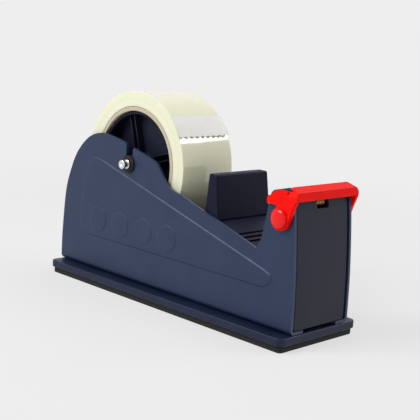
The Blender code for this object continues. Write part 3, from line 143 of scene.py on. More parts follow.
# Edge rounding and small relief that only the looks have
EDGE_ROUND = 0.35 * MM
FOLD_ROUND = 0.25 * MM
FINE_ROUND = 0.3 * MM
GUARD_ROUND = 0.7 * MM
BLOCK_ROUND = 1.1 * MM
BUSH_ROUND = 0.25 * MM
HUB_ROUND = 0.5 * MM
NUT_ROUND = 0.2 * MM
HUB_RIB_HALF = 0.5 * MM
HUB_RIB_SPREAD = 2.3 * MM
GRIP_RIB_COUNT = 6
GRIP_RIB_RADIUS = 0.32 * MM
GRIP_RIB_PITCH = 1.7 * MM
GRIP_RIB_TAPER = 0.4 * MM
RIM_WIDTH = 2.6 * MM
RIM_HEIGHT = 0.5 * MM
RIM_SETBACK = 0.5 * MM
RIM_ROUND = 0.2 * MM

# How the solids are made
WELD = 0.001 * MM
OVERCUT = 3.0 * MM
ROOT = 0.7 * MM
BORE_REACH = 40.0 * MM
BORE_SEGMENTS = 24
SLOPE_STEPS = 5

# Places along the side profile, as shares of the body's length and height
AXLE_SHARES = (0.3215, 0.8173)
PIVOT_SHARES = (0.9422, 0.6933)
SPRING_ROD_SHARES = (0.9515, 0.7779)
HUMP_SHARES = (
    (0.0013, 0.2115), (0.0118, 0.5058), (0.0325, 0.6731), (0.0667, 0.8288),
    (0.1215, 0.9490), (0.1814, 0.9962), (0.2426, 0.9885),
)
MOUTH_REAR_SHARE = 0.9590
MOUTH_FRONT_SHARE = 0.9420
BUMP_SHARES = (
    (0.3586, 0.9221), (0.4219, 0.8837), (0.4506, 0.8529), (0.4747, 0.7846),
    (0.5000, 0.7240), (0.5308, 0.6990), (0.5591, 0.6856),
)
V_SHARES = (0.8570, 0.4750)
STEEP_SHARES = ((0.8738, 0.5423), (0.8857, 0.6788), (0.8916, 0.7577))
TOWER_CORNER_SHARES = (0.8985, 0.8480)
TOWER_TOP_SHARES = (0.9595, 0.8837)
FRONT_SHARES = (
    (0.9679, 0.8462), (0.9743, 0.8058), (0.9802, 0.7452), (0.9878, 0.5865),
    (0.9949, 0.3846), (0.9983, 0.2212), (1.0000, 0.0337),
)
EMBOSS_SHARES = (
    (0.0886, 0.2404), (0.1055, 0.6635), (0.1371, 0.8221), (0.1920, 0.8135),
    (0.8861, 0.3683), (0.9346, 0.3269), (0.9008, 0.2404),
)
EMBOSS_CORNERS = (9 * MM, 9 * MM, 9 * MM, 9 * MM, 9 * MM, 6 * MM, 9 * MM)
DISC_SHARES = ((0.1882, 0.3760), (0.2954, 0.3760), (0.4021, 0.3760), (0.5093, 0.3760))
ARM_SHARES = (
    (0.9274, 0.7558), (0.9270, 0.7692), (0.9093, 0.7731), (0.8941, 0.7721),
    (0.8937, 0.8038), (0.8979, 0.8202), (0.9063, 0.8250), (0.9173, 0.8510),
    (0.9262, 0.8596), (0.9367, 0.8644), (0.9494, 0.8649), (0.9608, 0.8615),
    (0.9620, 0.8750), (0.9646, 0.8875), (0.9924, 0.8606), (0.9937, 0.8087),
    (0.9857, 0.7606),
)
HOOD_TOP, HOOD_FRONT, ARM_FRONT = 13, 14, 15  # where these lie in ARM_SHARES
HOOD_INSIDE_SHARES = ((0.9629, 0.8731), (0.9861, 0.8500), (0.9861, 0.8087))
GRIP_FOOT_SHARES = (0.9110, 0.7800)
GRIP_TOP_SHARE = 0.8150
GRIP_TOP_STEP = 0.0060
BLOCK_SHARES = ((0.6443, 0.6115), (0.6494, 0.8625), (0.6814, 0.8606), (0.6992, 0.5740))
RAMP_TOP_SHARES = ((0.6308, 0.6144), (0.8641, 0.4548))
LANDING_SHARES = (
    (0.8830, 0.4700), (0.8924, 0.6250), (0.9000, 0.7500), (0.9064, 0.8317),
    (0.9219, 0.8615), (0.9532, 0.8788), (0.9586, 0.8690), (0.9586, 0.8192),
)
LANDING_CORNERS = (0, 20 * MM, 20 * MM, 3.5 * MM, 3.5 * MM, 1.2 * MM, 1.2 * MM, 0)
PANEL_TOP_SHARE = 0.8038
REAR_PANEL_TOP_SHARE = 0.4900


def profile_height(share):
    return PLATE_FOOT + share * BODY_HEIGHT


def profile_point(shares):
    return Vector(((shares[0] - 1 / 2) * BODY_LENGTH, profile_height(shares[1])))


def profile_points(table):
    return [profile_point(shares) for shares in table]


AXLE = profile_point(AXLE_SHARES)
PIVOT = profile_point(PIVOT_SHARES)
SPRING_ROD = profile_point(SPRING_ROD_SHARES)


# Colours and materials

def linear(colour):
    """Linear RGBA of an sRGB hex colour."""
    found = []
    for index in (0, 2, 4):
        c = int(colour[index:index + 2], 16) / 255
        found.append(c / 12.92 if c <= 0.04045 else ((c + 0.055) / 1.055) ** 2.4)
    return (*found, 1)


def add_node(tree, kind, inputs=(), **settings):
    """Node with its settings, and with a value or a link for each named input."""
    found = tree.nodes.new(kind)
    for key, value in settings.items():
        setattr(found, key, value)
    for key, value in dict(inputs).items():
        if isinstance(value, bpy.types.NodeSocket):
            tree.links.new(value, found.inputs[key])
        else:
            found.inputs[key].default_value = value
    return found


class Finish:
    """Node material with one Principled shader, fed from object coordinates."""

    def __init__(self, name, colour, roughness, **sockets):
        self.material = bpy.data.materials.new(name)
        self.material.use_nodes = True
        self.tree = self.material.node_tree
        self.shader = self.tree.nodes["Principled BSDF"]
        self.place = self.node("ShaderNodeTexCoord").outputs["Object"]
        self.shader.inputs["Base Color"].default_value = linear(colour)
        self.shader.inputs["Roughness"].default_value = roughness
        for socket, value in sockets.items():
            self.shader.inputs[socket.replace("_", " ")].default_value = value

    def node(self, kind, inputs=(), **settings):
        return add_node(self.tree, kind, inputs, **settings)

    def noise(self, grain, detail=3, place=None):
        """Noise whose features are about one grain across."""
        inputs = {
            "Vector": place or self.place, "Scale": 1 / grain, "Detail": detail,
            "Roughness": 0.55,
        }
        return self.node("ShaderNodeTexNoise", inputs).outputs["Fac"]

    def ramp(self, source, stops):
        """Colour ramp from a list of (place, hex colour)."""
        node = self.node("ShaderNodeValToRGB", {"Fac": source})
        elements = node.color_ramp.elements
        while len(elements) < len(stops):
            elements.new(1)
        for element, (where, colour) in zip(elements, stops):
            element.position = where
            element.color = linear(colour)
        return node.outputs["Color"]

    def span(self, source, low, high):
        """Carries the middle of a noise's range to the range from low to high."""
        inputs = {
            "Value": source, "From Min": 0.3, "From Max": 0.7, "To Min": low, "To Max": high,
        }
        return self.node("ShaderNodeMapRange", inputs).outputs["Result"]

    def maths(self, operation, *values):
        return self.node("ShaderNodeMath", enumerate(values), operation=operation).outputs[0]

    def radius_from(self, centre):
        """Distance from an axis along Y through a place in the side profile."""
        parts = self.node("ShaderNodeSeparateXYZ", {"Vector": self.place}).outputs
        across = self.maths("SUBTRACT", parts["X"], centre.x)
        up = self.maths("SUBTRACT", parts["Z"], centre.y)
        squares = self.maths("ADD", self.maths("POWER", across, 2), self.maths("POWER", up, 2))
        return self.maths("SQRT", squares)

    def along(self, value, grain):
        """Noise that changes only with one value, such as a radius."""
        vector = self.node("ShaderNodeCombineXYZ", {"X": value}).outputs[0]
        return self.noise(grain, detail=2, place=vector)

    def colour(self, source):
        self.tree.links.new(source, self.shader.inputs["Base Color"])
        return self

    def gloss(self, source):
        self.tree.links.new(source, self.shader.inputs["Roughness"])
        return self

    def translucent(self):
        """Light goes a few millimetres into the wound film, warm light the furthest."""
        self.shader.inputs["Subsurface Radius"].default_value = (4 * MM, 3.6 * MM, 2.2 * MM)
        self.shader.inputs["Subsurface Scale"].default_value = 1.0
        return self

    def bump(self, *layers):
        """Stacks bumps, given as (height source, depth)."""
        normal = None
        for source, depth in layers:
            inputs = {"Height": source, "Distance": depth, "Strength": 1.0}
            if normal is not None:
                inputs["Normal"] = normal
            normal = self.node("ShaderNodeBump", inputs).outputs["Normal"]
        self.tree.links.new(normal, self.shader.inputs["Normal"])
        return self


def enamel(name, dark, light, roughness, **sockets):
    """Satin enamel on sheet steel.

    Faint clouds in its colour keep wide faces from looking flat, and an orange peel of
    0.9 mm breaks its highlights up a little.
    """
    skin = Finish(name, light, roughness, **sockets)
    skin.colour(skin.ramp(skin.noise(28 * MM), [(0.35, dark), (0.65, light)]))
    skin.gloss(skin.span(skin.noise(6 * MM), roughness - 0.05, roughness + 0.05))
    return skin.bump((skin.noise(0.9 * MM, detail=2), 0.012 * MM)).material


def moulded(name, dark, light, roughness, grain, depth, **sockets):
    """Moulded plastic: its spark-eroded grain gives a dull, even face with soft edges.

    Real grain is about 0.1 mm. It is drawn several times as coarse, so that it shows.
    """
    skin = Finish(name, light, roughness, **sockets)
    skin.colour(skin.ramp(skin.noise(14 * MM), [(0.35, dark), (0.65, light)]))
    skin.gloss(skin.span(skin.noise(3 * MM), roughness - 0.06, roughness + 0.06))
    return skin.bump((skin.noise(grain, detail=2), depth)).material


def metal(name, dark, light, roughness):
    """Bare or plated steel: a cloudy polish and fine scratches, drawn 0.6 mm coarse."""
    skin = Finish(name, light, roughness, Metallic=1.0)
    skin.colour(skin.ramp(skin.noise(4 * MM), [(0.3, dark), (0.7, light)]))
    scratches = skin.noise(0.6 * MM)
    skin.gloss(skin.span(scratches, roughness * 0.7, roughness * 1.4))
    return skin.bump((scratches, 0.004 * MM)).material


def cast_iron():
    """Sand-cast iron: coarse grain over wide lumps, so it never shines evenly."""
    skin = Finish("rough_cast_iron", "2c2c2e", 0.75, Metallic=0.4)
    skin.colour(skin.ramp(skin.noise(5 * MM), [(0.3, "202022"), (0.7, "38383a")]))
    return skin.bump((skin.noise(6 * MM), 0.3 * MM), (skin.noise(0.8 * MM), 0.15 * MM)).material


def cellular_rubber():
    """Black sponge rubber: dull, with closed pores of 0.7 mm on its cut edge."""
    skin = Finish("cellular_rubber", "101010", 0.92)
    skin.colour(skin.ramp(skin.noise(3 * MM), [(0.3, "0b0b0b"), (0.7, "191919")]))
    pores = skin.node(
        "ShaderNodeTexVoronoi", {"Vector": skin.place, "Scale": 1 / (0.7 * MM)}
    ).outputs["Distance"]
    return skin.bump((pores, 0.12 * MM)).material


def wound_paper():
    """Cardboard core: grey-brown paper, dull, with its 0.45 mm plies showing on the ends."""
    skin = Finish("wound_paper", "c4b8a2", 0.9)
    fibre = skin.noise(1.2 * MM, detail=6)
    skin.colour(skin.ramp(fibre, [(0.3, "b3a68e"), (0.7, "cfc4b0")]))
    plies = skin.along(skin.radius_from(AXLE), 0.45 * MM)
    return skin.bump((plies, 0.08 * MM), (fibre, 0.03 * MM)).material


def tape_side():
    """Cut side of the wound tape: fine rings, with light that sinks into the film.

    One turn of film is 0.05 mm thick. The rings are drawn 0.35 mm apart, so that they show.
    """
    skin = Finish("wound_tape_side", "e6e4c0", 0.38, Subsurface_Weight=0.25).translucent()
    radius = skin.radius_from(AXLE)
    rings = skin.along(radius, 0.35 * MM)
    wide = skin.along(radius, 2.4 * MM)
    tone = skin.maths(
        "ADD", skin.maths("MULTIPLY", rings, 0.5), skin.maths("MULTIPLY", wide, 0.5)
    )
    skin.colour(skin.ramp(tone, [(0.32, "dfe0c2"), (0.5, "e6e7cb"), (0.68, "edeed6")]))
    return skin.bump((rings, 0.03 * MM)).material


def tape_tread():
    """Outer turn of clear tape over many more: glossy, with faint trapped air."""
    skin = Finish(
        "wound_tape_tread", "e8e8d0", 0.16, Subsurface_Weight=0.2, Coat_Weight=1.0,
        Coat_Roughness=0.06,
    ).translucent()
    clouds = skin.noise(16 * MM, detail=4)
    skin.colour(skin.ramp(clouds, [(0.35, "eeedcb"), (0.65, "f2f1d6")]))
    skin.gloss(skin.span(skin.noise(7 * MM), 0.1, 0.2))
    return skin.bump((skin.noise(12 * MM, detail=2), 0.02 * MM)).material


def loose_film():
    """Free end of the tape, coloured near white all over: a painted reflection of the bright
    surroundings on the lifted film, with air under it.
    """
    skin = Finish("lifted_film_painted_reflection", "dfddd8", 0.35, Specular_IOR_Level=0.3)
    skin.colour(skin.ramp(skin.noise(9 * MM), [(0.3, "f1f0ec"), (0.7, "f6f5f2")]))
    return skin.bump((skin.noise(6 * MM), 0.008 * MM)).material


BLUE = enamel("satin_blue_enamel", "22304c", "263451", 0.42, Specular_IOR_Level=0.3)
# Lighter blue for the side plates' cut edges: a painted highlight where the edges catch the
# light.
EDGE_BLUE_HIGHLIGHT = enamel("blue_enamel_painted_edge_highlight", "2a3854", "30405e", 0.38, Specular_IOR_Level=0.4)
NAVY = enamel("satin_navy_enamel", "131c34", "18223c", 0.4, Specular_IOR_Level=0.25)
DARK = enamel("dark_satin_enamel", "1e2030", "232536", 0.38, Specular_IOR_Level=0.2)
LANDING = enamel("landing_enamel", "232838", "2b3142", 0.22, Coat_Weight=0.4)
DARK_PLASTIC = moulded(
    "dark_grained_plastic", "13152a", "171a2c", 0.5, 0.5 * MM, 0.015 * MM,
    Specular_IOR_Level=0.1,
)
HUB_PLASTIC = moulded(
    "near_black_hub_plastic", "141728", "191c30", 0.45, 0.7 * MM, 0.008 * MM,
    Specular_IOR_Level=0.15,
)
NYLON = moulded(
    "black_nylon", "1c1a16", "24211b", 0.5, 0.6 * MM, 0.012 * MM, Specular_IOR_Level=0.2
)
RED = moulded(
    "satin_red_plastic", "f50e05", "fb1207", 0.34, 1.4 * MM, 0.004 * MM,
    Specular_IOR_Level=0.08,
)
CAP_RED = moulded(
    "glossy_red_plastic", "e80a0c", "f00d10", 0.12, 1.4 * MM, 0.002 * MM,
    Specular_IOR_Level=0.3,
)
CHROME = metal("polished_chrome", "cfd3d6", "e8ecee", 0.08)
STEEL = metal("zinced_steel", "82858b", "a0a4aa", 0.34)
BLADE_STEEL = metal("ground_blade_steel", "a9adb2", "c6cacf", 0.24)
# Golden-brown colour on the spring wire: painted reflection of the red guard and painted shade
# on steel lying under it.
SPRING_STEEL = metal("spring_steel_painted_red_reflection", "8a7048", "b8975f", 0.34)
IRON = cast_iron()
RUBBER = cellular_rubber()
PAPER = wound_paper()
TAPE_SIDE = tape_side()
TAPE_TREAD = tape_tread()
# Near-white film for the tape's loose end: painted reflection of the surroundings.
FILM = loose_film()


# Outlines

def smooth(points, steps=8):
    """Catmull-Rom curve through the points."""
    padded = [points[0] * 2 - points[1], *points, points[-1] * 2 - points[-2]]
    found = []
    for p0, p1, p2, p3 in zip(padded, padded[1:], padded[2:], padded[3:]):
        for step in range(steps):
            t = step / steps
            second = p0 * 2 - p1 * 5 + p2 * 4 - p3
            third = p1 * 3 - p0 - p2 * 3 + p3
            found.append((p1 * 2 + (p2 - p0) * t + second * t ** 2 + third * t ** 3) / 2)
    found.append(points[-1].copy())
    return found


def arc(centre, radius, start, stop, steps):
    found = []
    for step in range(steps + 1):
        angle = start + (stop - start) * step / steps
        found.append(centre + Vector((math.cos(angle), math.sin(angle))) * radius)
    return found


def circle(centre, radius, segments):
    return arc(centre, radius, 0, 2 * math.pi, segments)[:-1]


def fillet(before, corner, after, radius, steps=8):
    """Points of the arc that rounds one corner."""
    if radius <= 0:
        return [corner.copy()]
    to_before = (before - corner).normalized()
    to_after = (after - corner).normalized()
    half = to_before.angle(to_after) / 2
    shorter = min((before - corner).length, (after - corner).length)
    reach = min(radius / math.tan(half), shorter * 0.48)
    radius = reach * math.tan(half)
    first = corner + to_before * reach
    last = corner + to_after * reach
    centre = corner + (to_before + to_after).normalized() * (radius / math.sin(half))
    turn = (first - centre).angle_signed(last - centre)
    found = []
    for step in range(steps + 1):
        spoke = (first - centre).copy()
        spoke.rotate(Matrix.Rotation(-turn * step / steps, 2))
        found.append(centre + spoke)
    return found


def rounded(points, radii, closed=True, steps=8):
    found = []
    for index, corner in enumerate(points):
        if not closed and index in (0, len(points) - 1):
            found.append(corner.copy())
            continue
        after = points[(index + 1) % len(points)]
        found.extend(fillet(points[index - 1], corner, after, radii[index], steps))
    return found


def rectangle(left, foot, right, top):
    return [Vector(pair) for pair in ((left, foot), (right, foot), (right, top), (left, top))]


def inset(points, distance):
    """Closed outline moved towards its inside."""
    area = sum(a.x * b.y - b.x * a.y for a, b in zip(points, points[1:] + points[:1]))
    turn = 1 if area > 0 else -1
    found = []
    for index, here in enumerate(points):
        way = points[(index + 1) % len(points)] - points[index - 1]
        normal = Vector((-way.y, way.x)).normalized() * turn
        found.append(here + normal * distance)
    return found


def soften(profile, radius):
    """Rounds every corner of a closed (radius, height) profile."""
    points = [Vector(pair) for pair in profile]
    return [tuple(p) for p in rounded(points, [radius] * len(points), steps=3)]


# Solids

def loop(bm, points, y):
    """Closed loop of edges in the side profile at one Y."""
    verts = [bm.verts.new((p.x, y, p.y)) for p in points]
    return [bm.edges.new(pair) for pair in zip(verts, verts[1:] + verts[:1])]


def move_new(bm, made, travel):
    verts = [item for item in made if isinstance(item, bmesh.types.BMVert)]
    bmesh.ops.translate(bm, verts=verts, vec=travel)


def push(bm, face, travel):
    """Extrudes a face along a vector and returns its new end."""
    made = bmesh.ops.extrude_face_region(bm, geom=[face])["geom"]
    move_new(bm, made, travel)
    return next(item for item in made if isinstance(item, bmesh.types.BMFace))


def push_edges(bm, edges, travel):
    """Extrudes edges along a vector, as a strip of faces."""
    move_new(bm, bmesh.ops.extrude_edge_only(bm, edges=edges)["geom"], travel)


def pushed(places, travel):
    """Closed solid from a flat outline pushed along a vector."""
    bm = bmesh.new()
    push(bm, bm.faces.new([bm.verts.new(place) for place in places]), travel)
    return bm


def prism(points, y_from, y_to):
    """Closed solid with an outline in the side profile."""
    return pushed([(x, y_from, z) for x, z in points], (0, y_to - y_from, 0))


def spun(places, segments, centre, axis, closed=False):
    """Line of places turned once round an axis; what lies on the axis is welded."""
    bm = bmesh.new()
    verts = [bm.verts.new(place) for place in places]
    pairs = list(zip(verts, verts[1:]))
    if closed:
        pairs.append((verts[-1], verts[0]))
    edges = [bm.edges.new(pair) for pair in pairs]
    bmesh.ops.spin(
        bm, geom=[*verts, *edges], cent=centre, axis=axis, angle=2 * math.pi, steps=segments,
        use_merge=True,
    )
    bmesh.ops.remove_doubles(bm, verts=bm.verts, dist=WELD)
    return bm


def lathe(profile, segments, centre, side=1, closed=False):
    """(radius, height) pairs turned about an axis along Y, outwards on the given side."""
    places = [(centre.x + radius, side * height, centre.y) for radius, height in profile]
    return spun(places, segments, (centre.x, 0, centre.y), (0, 1, 0), closed)


def bore(centre, radius):
    """Cutter for a hole along Y through the whole body."""
    profile = [(0, BORE_REACH), (radius, BORE_REACH), (radius, -BORE_REACH), (0, -BORE_REACH)]
    return lathe(profile, BORE_SEGMENTS, centre)


# Objects

def add_object(name, data):
    obj = bpy.data.objects.new(name, data)
    bpy.context.scene.collection.objects.link(obj)
    return obj


def as_object(name, bm):
    """Object with the faces as they are turned now."""
    mesh = bpy.data.meshes.new(name)
    bm.to_mesh(mesh)
    bm.free()
    return add_object(name, mesh)


def to_object(name, bm):
    """Object with its faces turned outwards."""
    bmesh.ops.recalc_face_normals(bm, faces=bm.faces)
    return as_object(name, bm)


def final_mesh(obj):
    graph = bpy.context.evaluated_depsgraph_get()
    graph.update()
    return bpy.data.meshes.new_from_object(obj.evaluated_get(graph))


def settle(obj):
    """Puts the result of the object's modifiers into its mesh."""
    mesh = final_mesh(obj)
    obj.modifiers.clear()
    obj.data = mesh
    return obj


def combine(obj, operation, *tools):
    """Boolean with each tool in turn. The tools are used up."""
    for bm in tools:
        tool = to_object(obj.name + "_tool", bm)
        step = obj.modifiers.new("combine", "BOOLEAN")
        step.operation = operation
        step.object = tool
        step.solver = "EXACT"
        settle(obj)
        bpy.data.objects.remove(tool, do_unlink=True)
    return obj


def edge_round(obj, width, segments=3, angle=40):
    step = obj.modifiers.new("edge_round", "BEVEL")
    step.width = width
    step.segments = segments
    step.limit_method = "ANGLE"
    step.angle_limit = math.radians(angle)


def round_edges(obj, width, segments=3, angle=40):
    edge_round(obj, width, segments, angle)
    return settle(obj)


def thicken(obj, thickness, rim_material=0):
    """Sheet with its outer face where the surface is."""
    sheet = obj.modifiers.new("sheet", "SOLIDIFY")
    sheet.thickness = thickness
    sheet.offset = -1
    sheet.use_even_offset = True
    sheet.material_offset_rim = rim_material
    return settle(obj)


def piece(obj, body, slot, node, *materials, angle=32):
    """Shades the object, gives it its finish and sets it in the place of its CAD node."""
    mesh = obj.data
    mesh.materials.clear()
    for material in materials:
        mesh.materials.append(material)
    mesh.polygons.foreach_set("use_smooth", [True] * len(mesh.polygons))
    mesh.set_sharp_from_angle(angle=math.radians(angle))
    even = obj.modifiers.new("even_normals", "WEIGHTED_NORMAL")
    even.keep_sharp = True
    settle(obj)
    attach(obj, body)
    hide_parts(node)


def side_name(side):
    return "left" if side < 0 else "right"


# Side plates

def front_edge():
    return smooth(profile_points(FRONT_SHARES))


def side_outline():
    bend_top = PLATE_FOOT + BEND_RADIUS
    rear_foot = Vector((-BODY_LENGTH / 2, bend_top))
    hump = smooth([rear_foot, *profile_points(HUMP_SHARES)])
    bump = smooth(profile_points(BUMP_SHARES))
    steep = smooth([profile_point(V_SHARES), *profile_points(STEEP_SHARES)])
    front = front_edge()
    front[-1] = Vector((BODY_LENGTH / 2, bend_top))
    rear, ahead = AXLE.x - SLOT_HALF, AXLE.x + SLOT_HALF
    rear_lip = Vector((rear, profile_height(MOUTH_REAR_SHARE)))
    front_lip = Vector((ahead, profile_height(MOUTH_FRONT_SHARE)))
    corner = profile_point(TOWER_CORNER_SHARES)
    top = profile_point(TOWER_TOP_SHARES)
    return [
        *hump,
        *fillet(hump[-1], rear_lip, Vector((rear, AXLE.y)), SLOT_MOUTH_RADIUS),
        *arc(AXLE, SLOT_HALF, math.radians(180), math.radians(360), 16),
        *fillet(Vector((ahead, AXLE.y)), front_lip, bump[0], SLOT_MOUTH_RADIUS),
        *bump,
        *fillet(bump[-1], profile_point(V_SHARES), steep[1], V_CORNER),
        *steep[2:],
        *fillet(steep[-1], corner, top, TOWER_REAR_CORNER),
        *fillet(corner, top, front[0], TOWER_FRONT_CORNER),
        *front,
    ]


def raised(bm, points, y, side, height, width):
    """Slope that rises smoothly from an outline; returns its first and last loop."""
    first = last = loop(bm, points, y)
    for step in range(1, SLOPE_STEPS + 1):
        share = step / SLOPE_STEPS
        rise = height * share * share * (3 - 2 * share)
        higher = loop(bm, inset(points, width * share), y + side * rise)
        bmesh.ops.bridge_loops(bm, edges=[*last, *higher])
        last = higher
    return first, last


def side_plate(side):
    """Pressed plate with a flange at its foot, a raised field and four raised discs."""
    bm = bmesh.new()
    y = side * HALF_WIDTH
    outline = loop(bm, side_outline(), y)
    field = rounded(profile_points(EMBOSS_SHARES), EMBOSS_CORNERS)
    field_start, field_end = raised(bm, field, y, side, EMBOSS_HEIGHT, EMBOSS_SLOPE)
    holes = [
        *loop(bm, circle(PIVOT, PIVOT_HOLE, BORE_SEGMENTS), y),
        *loop(bm, circle(SPRING_ROD, SPRING_ROD_HOLE, BORE_SEGMENTS), y),
    ]
    bmesh.ops.triangle_fill(
        bm, use_beauty=True, edges=[*outline, *field_start, *holes], normal=(0, side, 0)
    )
    lifted = y + side * EMBOSS_HEIGHT
    discs = []
    for shares in DISC_SHARES:
        points = circle(profile_point(shares), DISC_RADIUS, 64)
        start, end = raised(bm, points, lifted, side, DISC_HEIGHT, DISC_SLOPE)
        discs.extend(start)
        bmesh.ops.contextual_create(bm, geom=end)
    bmesh.ops.triangle_fill(
        bm, use_beauty=True, edges=[*field_end, *discs], normal=(0, side, 0)
    )
    foot = outline[-1]
    bend = bmesh.ops.spin(
        bm, geom=[foot, *foot.verts],
        cent=(0, side * (HALF_WIDTH - BEND_RADIUS), PLATE_FOOT + BEND_RADIUS),
        axis=(1, 0, 0), angle=-side * math.radians(90), steps=8, use_duplicate=False,
    )
    last = [item for item in bend["geom_last"] if isinstance(item, bmesh.types.BMEdge)]
    push_edges(bm, last, (0, -side * (FLANGE_WIDTH - BEND_RADIUS), 0))
    bmesh.ops.remove_doubles(bm, verts=bm.verts, dist=WELD)
    bmesh.ops.recalc_face_normals(bm, faces=bm.faces)
    wall = max(bm.faces, key=lambda face: face.calc_area())
    if wall.normal.y * side < 0:
        bmesh.ops.reverse_faces(bm, faces=bm.faces)
    name = side_name(side) + "_side_plate"
    obj = as_object(name + "_fine", bm)
    obj.data.materials.append(BLUE)
    obj.data.materials.append(EDGE_BLUE_HIGHLIGHT)
    # The rim faces take the lighter blue, a painted highlight along the cut edges.
    thicken(obj, PLATE_THICKNESS, rim_material=1)
    round_edges(obj, EDGE_ROUND, angle=60)
    indices = [face.material_index for face in obj.data.polygons]
    piece(obj, "frame", "blue_enamel", name, BLUE, EDGE_BLUE_HIGHLIGHT)
    obj.data.polygons.foreach_set("material_index", indices)


# Base

def slab(node, corner, edge, slot, material):
    """Flat plate with rounded corners that fills the box of its CAD node."""
    low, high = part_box(node)
    outline = rounded(rectangle(low.x, low.y, high.x, high.y), [corner] * 4, steps=10)
    bm = pushed([(p.x, p.y, low.z) for p in outline], (0, 0, high.z - low.z))
    obj = round_edges(to_object(node + "_fine", bm), edge, segments=4, angle=60)
    piece(obj, "frame", slot, node, material)


# Folded panels

def channel_section():
    flat = PANEL_HALF - PANEL_BEND_RADIUS
    bend = Vector((-PANEL_BEND_RADIUS, flat))
    half = arc(bend, PANEL_BEND_RADIUS, 0, math.radians(90), 8)
    half.append(Vector((-PANEL_RETURN, PANEL_HALF)))
    half.append(Vector((-PANEL_RETURN, PANEL_HALF - PANEL_THICKNESS)))
    half += arc(bend, PANEL_BEND_RADIUS - PANEL_THICKNESS, math.radians(90), 0, 8)
    return half + [Vector((p.x, -p.y)) for p in reversed(half)]


def channel(name, direction, path):
    """Folded channel swept along places (X, Z) of its face."""
    bm = bmesh.new()
    start = path[0]
    face = bm.faces.new([
        bm.verts.new((start.x + p.x * direction, p.y, start.y)) for p in channel_section()
    ])
    for index, (here, there) in enumerate(zip(path, path[1:])):
        ahead = push(bm, face, (there.x - here.x, 0, there.y - here.y))
        if index > 0:
            bmesh.ops.delete(bm, geom=[face], context="FACES_ONLY")
        face = ahead
    return to_object(name, bm)


def edge_place(edge, height):
    """X of an edge line at one height, held at its ends."""
    ordered = sorted(edge, key=lambda p: p.y)
    for low, high in zip(ordered, ordered[1:]):
        if low.y <= height <= high.y and high.y > low.y:
            share = (height - low.y) / (high.y - low.y)
            return low.x + (high.x - low.x) * share
    return ordered[0].x if height < ordered[0].y else ordered[-1].x


def panel_path(edge, setback, top, steps=24):
    heights = [FLOOR_TOP + (top - FLOOR_TOP) * step / steps for step in range(steps + 1)]
    return [Vector((edge_place(edge, height) - setback, height)) for height in heights]


def bend_reliefs():
    """Cutters that keep the inserts clear of the side plates' bends."""
    section = rectangle(-BODY_LENGTH, 0, BODY_LENGTH, RELIEF_TOP)
    for side in (-1, 1):
        yield prism(section, side * RELIEF_INNER, side * RELIEF_OUTER)


def front_panel():
    top = profile_height(PANEL_TOP_SHARE)
    path = panel_path(front_edge(), PANEL_SETBACK, top)
    obj = channel("front_panel_fine", 1, path)
    notch = rounded(
        [
            Vector((-NOTCH_HALF, top + OVERCUT)), Vector((-NOTCH_HALF, top - NOTCH_DEPTH)),
            Vector((NOTCH_HALF, top - NOTCH_DEPTH)), Vector((NOTCH_HALF, top + OVERCUT)),
        ],
        [0, NOTCH_CORNER, NOTCH_CORNER, 0],
    )
    reach = PANEL_RETURN / 2
    cutter = pushed([(path[-1].x - reach, p.x, p.y) for p in notch], (2 * reach, 0, 0))
    rods = bore(PIVOT, PIVOT_HOLE), bore(SPRING_ROD, SPRING_ROD_HOLE)
    combine(obj, "DIFFERENCE", cutter, *rods, *bend_reliefs())
    round_edges(obj, FOLD_ROUND, segments=2, angle=60)
    piece(obj, "frame", "dark_enamel", "front_panel", DARK)


def rear_panel():
    rear_foot = Vector((-BODY_LENGTH / 2, PLATE_FOOT))
    edge = smooth([rear_foot, *profile_points(HUMP_SHARES[:4])])
    path = panel_path(edge, -PANEL_SETBACK, profile_height(REAR_PANEL_TOP_SHARE))
    obj = channel("rear_panel_fine", -1, path)
    combine(obj, "DIFFERENCE", *bend_reliefs())
    round_edges(obj, FOLD_ROUND, segments=2, angle=60)
    piece(obj, "frame", "blue_enamel", "rear_panel", BLUE)


def landing_plate():
    """Sheet over the top of the tower, where the tape's end is laid."""
    path = rounded(profile_points(LANDING_SHARES), LANDING_CORNERS, closed=False, steps=10)
    bm = bmesh.new()
    verts = [bm.verts.new((p.x, -PANEL_HALF, p.y)) for p in path]
    edges = [bm.edges.new(pair) for pair in zip(verts, verts[1:])]
    push_edges(bm, edges, (0, 2 * PANEL_HALF, 0))
    bmesh.ops.recalc_face_normals(bm, faces=bm.faces)
    if min(bm.faces, key=lambda face: face.calc_center_median().z).normal.x > 0:
        bmesh.ops.reverse_faces(bm, faces=bm.faces)
    obj = thicken(as_object("landing_plate_fine", bm), PANEL_THICKNESS)
    round_edges(obj, FINE_ROUND, angle=60)
    piece(obj, "frame", "dark_enamel", "landing_plate", LANDING)


# Ramp insert and guide block

def ramp_rise(rear, front):
    return (front.y - rear.y) / (front.x - rear.x)


